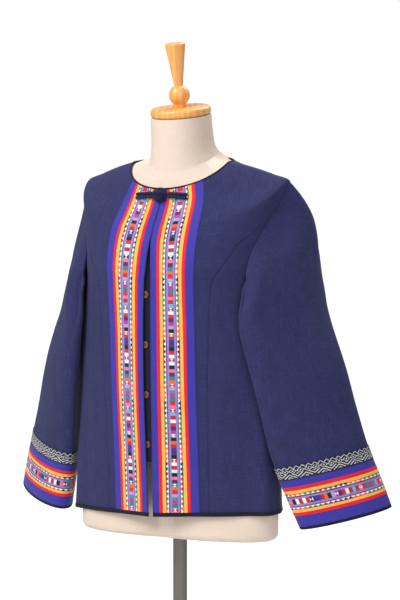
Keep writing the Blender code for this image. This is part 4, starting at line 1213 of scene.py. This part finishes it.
def band_places(bands):
    """Places across a ribbon and how far it stands up there: two to each band's edge, two inside."""
    places, heights, edge = [], [], 0.0
    for width, _, rise in bands:
        width, rise = width / 1000, rise / 1000
        shares = np.array([STEP_RUN / 2 / width, 0.12, 0.5, 0.88, 1 - STEP_RUN / 2 / width])
        crown = np.array([0.0, 0.00008, 0.00014, 0.00008, 0.0])
        places.extend(edge + width * shares)
        heights.extend(rise + crown)
        edge += width
    places[0], places[-1] = 0.0, edge
    return np.array(places), np.array(heights)


def ripple(count, speed):
    """A small wave along a ribbon or binding: RIPPLE times a sine."""
    return RIPPLE * np.sin(np.arange(count) * speed)


def front_ribbon(side, word):
    """A patchwork ribbon down a front edge, with each band at its own height."""
    levels = cloth_levels()
    places, heights = band_places(FRONT_BANDS)
    angles = ribbon_angles(levels, places / places[-1])
    rows = to_neck(angles, levels, NECK_BINDING + SEAM)
    wavy = ripple(len(levels), 2.3)[:, None] * (heights > 0)
    lift = SEAM + RIBBON_CLOTH + heights[None, :] + wavy
    outer = on_body(angles * side, rows, lift)
    inner = on_body(angles * side, rows, np.full_like(lift, SEAM))
    uv = length_uv(outer, False, 2)
    uv[..., 1] -= uv[-1, 0, 1]
    uv[..., 0] = places[None, :]
    return wall(f"patchwork_front_{word}", outer, inner, look("front_ribbon"), uv)


def sleeve_grid(levels, columns=96):
    """Turns and levels of a grid round the sleeve."""
    return np.meshgrid(np.arange(columns) * 2 * math.pi / columns, levels)


def sleeve_piece(name, turn, level, side, lift, under, finish, uv=None):
    """A wall on the sleeve between the lift and the face under it, mirrored for the right."""
    mirror = np.array([side, 1.0, 1.0])
    outer = on_sleeve(turn, level, lift) * mirror
    inner = on_sleeve(turn, level, under + 0 * lift) * mirror
    return wall(name, outer, inner, look(finish), uv, closed=True)


def ribbon_uv(turn, level, places):
    """Metres across the ribbon from its upper edge, and round it along its middle row."""
    uv = length_uv(on_sleeve(turn, level, 0 * turn), True)
    uv[..., 1] = uv[len(places) // 2, :, 0][None, :]
    uv[..., 0] = places[:, None]
    return uv


def colour_property(name, description, default):
    """A colour for the panel, given in linear values."""
    return bpy.props.FloatVectorProperty(
        name=name, description=description, subtype="COLOR", size=3, default=default[:3]
    )


def power_property(name, description, default):
    """A light's power for the panel, in watts."""
    return bpy.props.FloatProperty(name=name, description=description, default=default, unit="POWER")


def length_property(name, description, default, least):
    """A length for the panel, in metres."""
    return bpy.props.FloatProperty(
        name=name, description=description, default=default, min=least, unit="LENGTH"
    )


class JacketSizes(bpy.types.PropertyGroup):
    """Sizes that a sewer would change."""

    stitch: length_property("Stitch length", "Length of a machine stitch", 0.0026, 0.001)
    stitch_gap: length_property("Stitch gap", "Space between two stitches", 0.0009, 0.0002)
    thread: length_property("Thread", "Radius of the sewing thread", 0.00022, 0.0001)
    hem_stitch: length_property("Hem stitching", "Height of the stitching above the edge", 0.0095, 0.008)


class JacketColours(bpy.types.PropertyGroup):
    """Colours of the cloth, the form and the wood."""

    cloth: colour_property("Cloth", "Navy cotton", linear(51, 54, 104))
    binding: colour_property("Binding", "Bound edges", linear(30, 28, 46))
    cord: colour_property("Cord", "Corded fastening", linear(42, 44, 82))
    thread: colour_property("Thread", "Sewing thread", linear(54, 55, 94))
    form: colour_property("Form cover", "Linen on the dress form", linear(228, 209, 193))
    wood: colour_property("Wood", "Neck cap and finial", linear(240, 176, 98))


class StageSizes(bpy.types.PropertyGroup):
    """Camera and light."""

    lens: bpy.props.FloatProperty(
        name="Lens", description="Focal length in millimetres", default=137.4, unit="CAMERA"
    )
    key: power_property("Key light", "Power of the large soft light", 215.0)
    fill: power_property("Fill light", "Power of the weak light", 46.0)
    floor: colour_property("Floor", "Colour of the floor", (0.90, 0.90, 0.90))


class JACKET_OT_form(bpy.types.Operator):
    """Build the linen covered torso and its neck"""

    bl_idname = "jacket.form"
    bl_label = "Dress form"

    def execute(self, context):
        around = np.arange(FORM_SIDES) * 2 * math.pi / FORM_SIDES
        torso = self.torso(around)
        grid = np.concatenate([self.underside(around, torso[0]), torso, self.neck(around)])
        finished(skin("form_cover", grid, look("linen")), "linen", "dress_form")
        return {"FINISHED"}

    @staticmethod
    def torso(around):
        """The body's own surface with a fuller waist, moved in by the ease and the cloth."""
        rings = {}
        for name, row in BODY_RINGS.items():
            ring = dict(zip(BODY_COLUMNS, row))
            ring.update(zip(FORM_CHANGED, FORM_CHANGES.get(name, ())))
            rings[name] = tuple(ring.values())
        lower = np.linspace(0, ARMPIT, FORM_LOWER_ROWS)
        upper = np.linspace(ARMPIT, NECK, FORM_UPPER_ROWS)[1:]
        angle, level = np.meshgrid(around, np.concatenate([lower, upper]))
        x = body_point(angle, level)[..., 0]
        front = np.exp(-((x / FORM_FRONT_REACH) ** 2)) * (np.cos(angle) > 0)
        front = front * (1 - ease_in((level - TIP) / (NECK - TIP)))
        inset = CLOTH + smooth(FORM_EASE, level) + FORM_FRONT_EASE * front
        return body_point(angle, level, rings) - body_normal(angle, level, rings) * inset[..., None]

    @staticmethod
    def neck(around):
        """Rings up the neck, each tilted a little more than the one below it."""
        levels = np.linspace(0, len(FORM_NECK_RINGS) - 1.0, FORM_NECK_ROWS)
        angle, level = np.meshgrid(around, levels)
        neck = ring_point(read_table(FORM_NECK_RINGS, BODY_COLUMNS, level), angle)
        leant = ease_in(level / levels[-1]) * math.tan(LEAN)
        neck[..., 2] += (neck[..., 1] - FORM_NECK_RINGS["top"][3]) * leant
        return neck

    @staticmethod
    def underside(around, hip):
        """The pole's socket, then the form's lower edge as a quarter circle out to the hip."""
        inwards = unit(hip * np.array([1.0, 1.0, 0.0]))
        circle = np.stack([np.sin(around), -np.cos(around), 0 * around], -1) * (POLE_RADIUS + SEAM)
        rings = [circle + np.array([0, 0, FORM_BOTTOM + rise]) for rise in (SOCKET_DEPTH, 0.0)]
        for turn in np.radians(np.linspace(0, 90, 7)):
            ring = hip - inwards * FORM_EDGE * (1 - math.sin(turn))
            ring[:, 2] = FORM_BOTTOM + FORM_EDGE * (1 - math.cos(turn))
            rings.append(ring)
        return np.array(rings)


class JACKET_OT_wood(bpy.types.Operator):
    """Turn the wooden neck cap and the finial"""

    bl_idname = "jacket.wood"
    bl_label = "Neck cap and finial"

    def execute(self, context):
        top = FORM_NECK_RINGS["top"]
        seat = np.array([0.0, top[3], top[4]])
        up = np.array([0.0, -math.sin(LEAN), math.cos(LEAN)])
        edge = CAP_ROUND
        profile = [(0.02, 0.0)] + arc(CAP_RADIUS - edge, edge, edge, -90, 0, 10)
        profile += arc(CAP_RADIUS - edge, CAP_THICK - edge, edge, 0, 90, 10)
        profile += [(0.030, CAP_THICK), (0.020, CAP_THICK)]
        cap = skin("wooden_neck_cap", turned(profile, 96, seat + up * SEAM, LEAN), look("beech"))
        finished(cap, "beech", "neck_cap")
        low = -math.degrees(math.acos(BALL_FOOT / BALL_RADIUS))
        high = math.degrees(math.acos(STEM_RADIUS / BALL_RADIUS))
        profile = [(BALL_FOOT * 0.5, 0.0), (BALL_FOOT, 0.0)] + arc(0, BALL_RISE, BALL_RADIUS, low, high, 26)
        shoulder = profile[-1][1]
        share = np.linspace(0.04, 1, 18)
        radius = STEM_RADIUS + (HANDLE_RADIUS - STEM_RADIUS) * share
        profile += list(zip(radius, shoulder + HANDLE_LENGTH * share))
        profile += arc(HANDLE_RADIUS - HANDLE_ROUND, profile[-1][1], HANDLE_ROUND, 12, 90, 7)
        profile += [(HANDLE_RADIUS * 0.4, profile[-1][1] + 0.0004)]
        place = seat + up * (CAP_THICK + 2 * SEAM)
        finial = skin("turned_finial", turned(profile, 64, place, LEAN), look("beech"))
        finished(finial, "beech", "finial")
        return {"FINISHED"}


class JACKET_OT_stand(bpy.types.Operator):
    """Build the steel pole and the round base"""

    bl_idname = "jacket.stand"
    bl_label = "Pole and base"

    def execute(self, context):
        foot = BASE_THICK + SEAM
        top = FORM_BOTTOM + SOCKET_DEPTH - SEAM
        rows = [(POLE_RADIUS - POLE_EDGE, foot), (POLE_RADIUS, foot + POLE_EDGE)]
        rows += [(POLE_RADIUS, h) for h in np.linspace(foot + 0.02, top - POLE_EDGE, 12)]
        rows += [(POLE_RADIUS - POLE_EDGE, top)]
        pole = skin("steel_pole", turned(rows, 48), look("steel"))
        finished(pole, "steel", "pole")
        inner = POLE_RADIUS + SEAM
        rim = BASE_THICK - BASE_ROUND
        foot, edge = COLLAR_RADIUS + COLLAR_FOOT, COLLAR_ROUND
        profile = [(0.05, 0.0), (BASE_RADIUS - BASE_EDGE, 0.0), (BASE_RADIUS, BASE_EDGE)]
        profile += arc(BASE_RADIUS - BASE_ROUND, rim, BASE_ROUND, 0, 90, 10)
        profile += [(0.100, BASE_THICK), (foot, BASE_THICK)]
        profile += arc(foot, BASE_THICK + COLLAR_FOOT, COLLAR_FOOT, -90, -180, 7)[1:]
        profile += arc(COLLAR_RADIUS - edge, BASE_THICK + COLLAR_TALL - edge, edge, 0, 90, 7)
        profile += [(inner, BASE_THICK + COLLAR_TALL), (inner, BASE_THICK)]
        base = skin("steel_base", turned(profile, 128), look("steel"), 40.0)
        finished(base, "steel", "base")
        return {"FINISHED"}


class JACKET_OT_panels(bpy.types.Operator):
    """Cut the navy fronts, side fronts and back over the body"""

    bl_idname = "jacket.panels"
    bl_label = "Cotton panels"

    def execute(self, context):
        for side, word in SIDES:
            angles, levels = front_grid()
            rows = to_neck(angles, levels, NECK_BINDING + SEAM)
            panel(f"cotton_front_{word}", f"front_{word}", angles, rows, side, False)
            angles, levels = side_grid()
            rows = np.repeat(levels[:, None], angles.shape[1], axis=1)
            panel(f"cotton_side_{word}", f"side_front_{word}", angles, rows, side, True)
        angles, levels = back_grid()
        rows = to_neck(angles, levels, NECK_BINDING + SEAM)
        panel("cotton_back", "back", angles, rows, 1, True)
        return {"FINISHED"}


class JACKET_OT_sleeves(bpy.types.Operator):
    """Hang the sleeves, with their folds and creases, from the armholes"""

    bl_idname = "jacket.sleeves"
    bl_label = "Sleeves"

    def execute(self, context):
        end = sleeve_level(CUFF_BINDING + SEAM)
        levels = np.linspace(0, 1, 111) ** 1.05 * end
        turn, level = sleeve_grid(levels)
        settle = 0.0005 * np.exp(-(((level - 0.10) / 0.10) ** 2)) * (1 + 0.5 * np.sin(26 * turn))
        settle = settle * ease_in(level / 0.08)
        for side, word in SIDES:
            piece = sleeve_piece(f"cotton_sleeve_{word}", turn, level, side, settle, -CLOTH, "navy_cotton")
            finished(piece, "navy_cotton", f"sleeve_{word}")
        return {"FINISHED"}


class JACKET_OT_ribbons(bpy.types.Operator):
    """Lay the patchwork and woven ribbons on the fronts and round the cuffs"""

    bl_idname = "jacket.ribbons"
    bl_label = "Ribbons"

    def execute(self, context):
        places, heights = band_places(CUFF_BANDS)
        top = CUFF_BINDING + SEAM + CUFF_RIBBON
        woven_top = top + SEAM + WOVEN_RIBBON
        for side, word in SIDES:
            piece = front_ribbon(side, word)
            finished(piece, "patchwork", f"front_ribbon_{word}")
            turn, level = sleeve_grid(sleeve_level(top - places * (CUFF_RIBBON / places[-1])))
            lift = SEAM + RIBBON_CLOTH + np.repeat(heights[:, None], turn.shape[1], axis=1)
            uv = ribbon_uv(turn, level, places)
            name = f"patchwork_cuff_{word}"
            piece = sleeve_piece(name, turn, level, side, lift, SEAM, "cuff_ribbon", uv)
            finished(piece, "patchwork", f"cuff_ribbon_{word}")
            place = np.linspace(0, WOVEN_RIBBON, 9)
            turn, level = sleeve_grid(sleeve_level(woven_top - place))
            lift = SEAM + 0.0008 + 0.0001 * np.sin(math.pi * place / WOVEN_RIBBON)[:, None] + 0 * turn
            uv = ribbon_uv(turn, level, place)
            name = f"woven_cuff_{word}"
            piece = sleeve_piece(name, turn, level, side, lift, SEAM, "woven_ribbon", uv)
            finished(piece, "woven_trim", f"cuff_woven_{word}")
        return {"FINISHED"}


class JACKET_OT_bindings(bpy.types.Operator):
    """Fold the dark bindings over the hem, the neckline and the cuffs"""

    bl_idname = "jacket.bindings"
    bl_label = "Bindings"

    def execute(self, context):
        rows = 9
        share = np.linspace(0, 1, rows)[:, None]
        crown = 0.0006 * np.sin(math.pi * share) ** 0.7
        front, side, back = front_grid()[0], side_grid()[0], back_grid()[0]
        for name, parts, node in (
            ("bound_hem", [front[0], side[0], back[0]], "hem_binding"),
            ("bound_neck", [front[-1], back[-1]], "neck_binding"),
        ):
            left = np.concatenate([row[:-1] for row in parts[:-1]])
            around = np.concatenate([left, parts[-1], 2 * math.pi - left[::-1]])
            angle = np.repeat(around[None, :], rows, axis=0)
            if node == "hem_binding":
                level = np.repeat(share * HEM_BINDING_LEVEL, len(around), axis=1)
            else:
                level = NECK - (NECK - neck_level(around, NECK_BINDING)) * (1 - share)
            outer = on_body(angle, level, PROUD + crown + ripple(len(around), 2.7))
            inner = on_body(angle, level, -CLOTH - PROUD + 0 * angle)
            piece = wall(name, outer, inner, look("binding"))
            finished(piece, "binding", node)
        start = sleeve_level(CUFF_BINDING)
        turn, level = sleeve_grid(start + (CUFF - start) * share[:, 0])
        for side, word in SIDES:
            lift = PROUD + np.repeat(crown, turn.shape[1], axis=1)
            name, under = f"bound_cuff_{word}", -CLOTH - PROUD
            piece = sleeve_piece(name, turn, level, side, lift, under, "binding")
            finished(piece, "binding", f"cuff_binding_{word}")
        return {"FINISHED"}


class JACKET_OT_fastening(bpy.types.Operator):
    """Sew on the button strip, its buttons and the corded frog"""

    bl_idname = "jacket.fastening"
    bl_label = "Strip, buttons and frog"

    def execute(self, context):
        across = np.linspace(-STRIP_HIDDEN, STRIP_SEWN, 17)
        x, level = np.meshgrid(across, np.linspace(STRIP_FROM, STRIP_TO, 90))
        angle, lift = angle_of_x(x, level), strip_lift(x)
        outer, inner = on_body(angle, level, lift), on_body(angle, level, lift - TRIM)
        strip = wall("placket_strip", outer, inner, look("binding"))
        finished(strip, "binding", "button_strip")
        for number, height in enumerate(BUTTON_HEIGHTS):
            self.button(number + 1, height)
        self.frog()
        return {"FINISHED"}

    def button(self, number, height):
        """A dished disc with a raised rim and two thread bars across its middle."""
        rim = BUTTON_THICK / 2
        lift = float(strip_lift(BUTTON_X)) + SEAM + rim
        centre = on_front(BUTTON_X, height, lift)
        level = level_at(BUTTON_X, height)
        facing = body_normal(angle_of_x(BUTTON_X, level), level)
        pitch, spin = math.acos(facing[2]), math.atan2(facing[0], -facing[1])
        profile = [(BUTTON_RADIUS * 0.4, -rim)] + arc(BUTTON_RADIUS - rim, 0, rim, -90, 100, 12)
        profile += [(BUTTON_RADIUS * 0.66, rim * 0.45), (BUTTON_RADIUS * 0.3, rim * 0.25)]
        grid = turned(profile, 40, centre, pitch, spin)
        finished(skin(f"coconut_button_{number}", grid, look("coconut")), "coconut", f"button_{number}")
        bars = []
        for off in (-0.0011, 0.0011):
            x = np.linspace(BUTTON_X - 0.0016, BUTTON_X + 0.0016, 9)
            line = on_front(x, np.full(9, height + off), lift + rim * 0.55)
            bars.append(stitch_row(line, np.broadcast_to(facing, line.shape), 0.0030, 0.0004, 0.00035))
        finished(stitch_object(f"button_thread_{number}", bars), "binding")

    def cord(self, name, node, x, rise):
        """A cord laid on the front, drooping with the square of its distance from the middle."""
        lift = TRIM + 3 * SEAM + CORD_RADIUS + CORD_LIFT
        line = on_front(x, FROG_Z + rise - FROG_DROOP * (np.abs(x) / FROG_REACH) ** 2, lift)
        piece = skin(name, rounded_tube(line, CORD_RADIUS), look("navy_cord"), SOFT_EDGE)
        finished(piece, "navy_cotton", node)

    def frog(self):
        """Two doubled cords that end in a loop and in a ball knot wound from the same cord."""
        half = CORD_APART / 2
        away = np.linspace(FROG_REACH, LOOP_RADIUS * 1.15, 18)
        opening = math.asin(half / LOOP_RADIUS) + 0.25
        ball = np.linspace(math.pi - opening, -math.pi + opening, 48)
        x = np.concatenate([-away, LOOP_RADIUS * np.cos(ball), -away[::-1]])
        rise = np.concatenate([np.full(18, half), LOOP_RADIUS * np.sin(ball), np.full(18, -half)])
        self.cord("corded_loop", "frog_loop", x, rise)
        bend_x = LOOP_RADIUS + CORD_RADIUS + SEAM + half + CORD_RADIUS
        away = np.linspace(FROG_REACH, bend_x, 16)
        bend = np.linspace(math.pi / 2, 3 * math.pi / 2, 13)[1:-1]
        x = np.concatenate([away, bend_x + half * np.cos(bend), away[::-1]])
        rise = np.concatenate([np.full(16, half), half * np.sin(bend), np.full(16, -half)])
        self.cord("corded_stem", "frog_stem", x, rise)
        self.knot(on_front(0.0, FROG_Z, KNOT_LIFT + CORD_LIFT))

    def knot(self, centre):
        """A cord wound on a ball: a great circle that rolls as it goes, three times round."""
        turns = np.linspace(0, 6 * math.pi, 220, endpoint=False)
        roll = turns / 3
        path = np.stack([np.cos(turns), np.sin(turns) * np.cos(roll), np.sin(turns) * np.sin(roll)], -1)
        over_and_under = 1 + 0.10 * np.sin(4 * turns)[:, None]
        line = centre + unit(path) * over_and_under * (KNOT_RADIUS - KNOT_CORD)
        ahead = unit(np.roll(line, -1, 0) - np.roll(line, 1, 0))
        out = unit(line - centre)
        side = unit(np.cross(ahead, out))
        cord = cord_ring("knot_cord", circles(line, out, side, KNOT_CORD, 12), look("navy_cord"))
        profile = arc(0, 0, KNOT_RADIUS * KNOT_CORE, -86, 86, 20)
        core = skin("corded_knot", turned(profile, 32, centre), look("navy_cord"), SOFT_EDGE)
        finished(core, "navy_cotton", "frog_knot")
        finished(cord, "navy_cotton")


class JACKET_OT_stitching(bpy.types.Operator):
    """Sew the rows of stitches that show, each stitch a small bar of thread"""

    bl_idname = "jacket.stitching"
    bl_label = "Stitching"

    def execute(self, context):
        sizes = context.scene.jacket_sizes
        stitch = (sizes.stitch, sizes.stitch_gap, sizes.thread)
        levels = cloth_levels()
        levels = np.linspace(levels[0] + 0.02, NECK - 0.12, 500)
        for side, word in SIDES:
            rows = []
            # along both edges of the patchwork ribbon
            for place in (STITCH_IN, FRONT_RIBBON - STITCH_IN):
                angle = ribbon_angles(levels, np.array([place / FRONT_RIBBON]))[:, 0] * side
                rows.append(self.body_row(angle, levels, SEAM + RIBBON_CLOTH + 0.0001, stitch))
            # beside the panel seam
            below = levels[levels < SEAM_END - 0.25]
            angle = (panel_seam(below) - angle_step(panel_seam(below), below, 0.0022)) * side
            rows.append(self.body_row(angle, below, 0.0, stitch))
            finished(stitch_object(f"front_stitching_{word}", rows), "binding")
            finished(stitch_object(f"cuff_stitching_{word}", self.cuff_rows(side, stitch)), "binding")
        # all round above the hem's binding
        angle = np.linspace(0.03, 2 * math.pi - 0.03, 900)
        ribbon_end = float(angle_of_x(0.0855, 0.0))
        angle = angle[(angle > ribbon_end) & (angle < 2 * math.pi - ribbon_end)]
        level = np.full(angle.shape, float(level_step(0.0, 0.0, sizes.hem_stitch)))
        rows = [self.body_row(angle, level, 0.0, stitch)]
        finished(stitch_object("hem_stitching", rows), "binding")
        return {"FINISHED"}

    def cuff_rows(self, side, stitch):
        """Rows of stitches round a sleeve, along both edges of both of its ribbons."""
        turn = np.linspace(0, 2 * math.pi, 300)
        mirror = np.array([side, 1, 1])
        top = CUFF_BINDING + SEAM + CUFF_RIBBON
        rows = []
        for distance, lift in (
            (top - STITCH_IN, 0.0009),
            (CUFF_BINDING + 0.0015, 0.0009),
            (top + 0.0025, 0.0010),
            (top + WOVEN_RIBBON - 0.0008, 0.0010),
        ):
            level = np.full(turn.shape, sleeve_level(distance))
            line = on_sleeve(turn, level, lift + 0 * turn) * mirror
            rows.append(stitch_row(line, sleeve_normal(turn, level) * mirror, *stitch))
        return rows

    @staticmethod
    def body_row(angle, level, lift, stitch):
        """A row of stitches along a line on the body's cloth."""
        line = on_body(angle, level, lift + 0 * level)
        return stitch_row(line, body_normal(angle, level), *stitch)


class JACKET_OT_cuts(bpy.types.Operator):
    """Cotton cuts: this step builds nothing"""

    bl_idname = "jacket.cuts"
    bl_label = "Cotton cuts"

    def execute(self, context):
        return {"FINISHED"}


class JACKET_OT_stage(bpy.types.Operator):
    """Set up the floor, the soft lights and the camera"""

    bl_idname = "jacket.stage"
    bl_label = "Stage"

    def execute(self, context):
        sizes = context.scene.jacket_stage
        scene = context.scene
        scene.view_settings.view_transform = "Standard"
        reach, low = FLOOR_REACH, -FLOOR_DROP
        corners = [(-reach, -reach, low), (reach, -reach, low), (reach, reach, low), (-reach, reach, low)]
        material, tree, shader = new_material("floor", 0.9, Specular_IOR_Level=0.1)
        shader.inputs["Base Color"].default_value = (*sizes.floor, 1.0)
        shader.inputs["Emission Color"].default_value = (1.0, 1.0, 1.0, 1.0)
        seen = tree.add("ShaderNodeLightPath").outputs["Is Camera Ray"]
        tree.put(shader.inputs["Emission Strength"], tree.times(seen, 0.76))
        mesh = bpy.data.meshes.new("floor")
        mesh.from_pydata(corners, [], [(0, 1, 2, 3)])
        placed(mesh, material)
        self.world(scene)
        lights = (
            ("key", (-1.1, -3.0, 4.2), 2.6, sizes.key, (1.0, 0.985, 0.96)),
            ("fill", (3.4, -2.8, 2.4), 2.4, sizes.fill, (0.96, 0.98, 1.0)),
            ("top", (0.3, 1.6, 3.4), 2.0, sizes.fill * 1.2, (1.0, 1.0, 1.0)),
        )
        for name, place, size, power, colour in lights:
            lamp = bpy.data.lights.new(name, "AREA")
            lamp.energy, lamp.size, lamp.color = power, size, colour
            thing = bpy.data.objects.new(name, lamp)
            self.aim(thing, place, (0.0, 0.0, 1.1))
            scene.collection.objects.link(thing)
        camera = bpy.data.cameras.new("camera")
        camera.lens = sizes.lens
        camera.clip_end = 200.0
        thing = bpy.data.objects.new("camera", camera)
        self.aim(thing, CAMERA_PLACE, CAMERA_TARGET)
        scene.collection.objects.link(thing)
        scene.camera = thing
        return {"FINISHED"}

    @staticmethod
    def aim(thing, place, target):
        """Turn a light or a camera so that it looks from its place at a target."""
        thing.location = place
        way = Vector(target) - Vector(place)
        thing.rotation_euler = way.to_track_quat("-Z", "Y").to_euler()

    @staticmethod
    def world(scene):
        """White where the camera looks past the floor, and softer where it lights the jacket."""
        world = bpy.data.worlds.new("studio")
        world.use_nodes = True
        scene.world = world
        tree = Tree(world.node_tree)
        background = world.node_tree.nodes["Background"]
        seen = tree.add("ShaderNodeLightPath").outputs["Is Camera Ray"]
        tree.put(background.inputs["Strength"], tree.math("MULTIPLY_ADD", seen, 0.68, 0.32))
        background.inputs["Color"].default_value = (1.0, 1.0, 1.0, 1.0)


PIECES = (
    JACKET_OT_form,
    JACKET_OT_wood,
    JACKET_OT_stand,
    JACKET_OT_panels,
    JACKET_OT_sleeves,
    JACKET_OT_ribbons,
    JACKET_OT_bindings,
    JACKET_OT_fastening,
    JACKET_OT_stitching,
    JACKET_OT_cuts,
    JACKET_OT_stage,
)


class JACKET_PT_panel(bpy.types.Panel):
    """Lists the jacket's pieces, sizes and colours"""

    bl_idname = "JACKET_PT_panel"
    bl_label = "Ribbon jacket"
    bl_space_type = "VIEW_3D"
    bl_region_type = "UI"
    bl_category = "Jacket"

    def draw(self, context):
        for group in GROUP_TYPES:
            box, values = self.layout.box(), getattr(context.scene, group)
            for name in values.__annotations__:
                box.prop(values, name)
        for piece in PIECES:
            self.layout.operator(piece.bl_idname)


GROUP_TYPES = {"jacket_sizes": JacketSizes, "jacket_colours": JacketColours, "jacket_stage": StageSizes}


def register():
    """Register every class, and hang the property groups on the scene."""
    for kind in (*GROUP_TYPES.values(), *PIECES, JACKET_PT_panel):
        bpy.utils.register_class(kind)
    for name, kind in GROUP_TYPES.items():
        setattr(bpy.types.Scene, name, bpy.props.PointerProperty(type=kind))


def unregister():
    """Take away what register added."""
    for name in GROUP_TYPES:
        delattr(bpy.types.Scene, name)
    for kind in (JACKET_PT_panel, *reversed(PIECES), *reversed(GROUP_TYPES.values())):
        bpy.utils.unregister_class(kind)


def main():
    register()
    for piece in PIECES:
        group, name = piece.bl_idname.split(".")
        getattr(getattr(bpy.ops, group), name)()


if __name__ == "__main__":
    main()
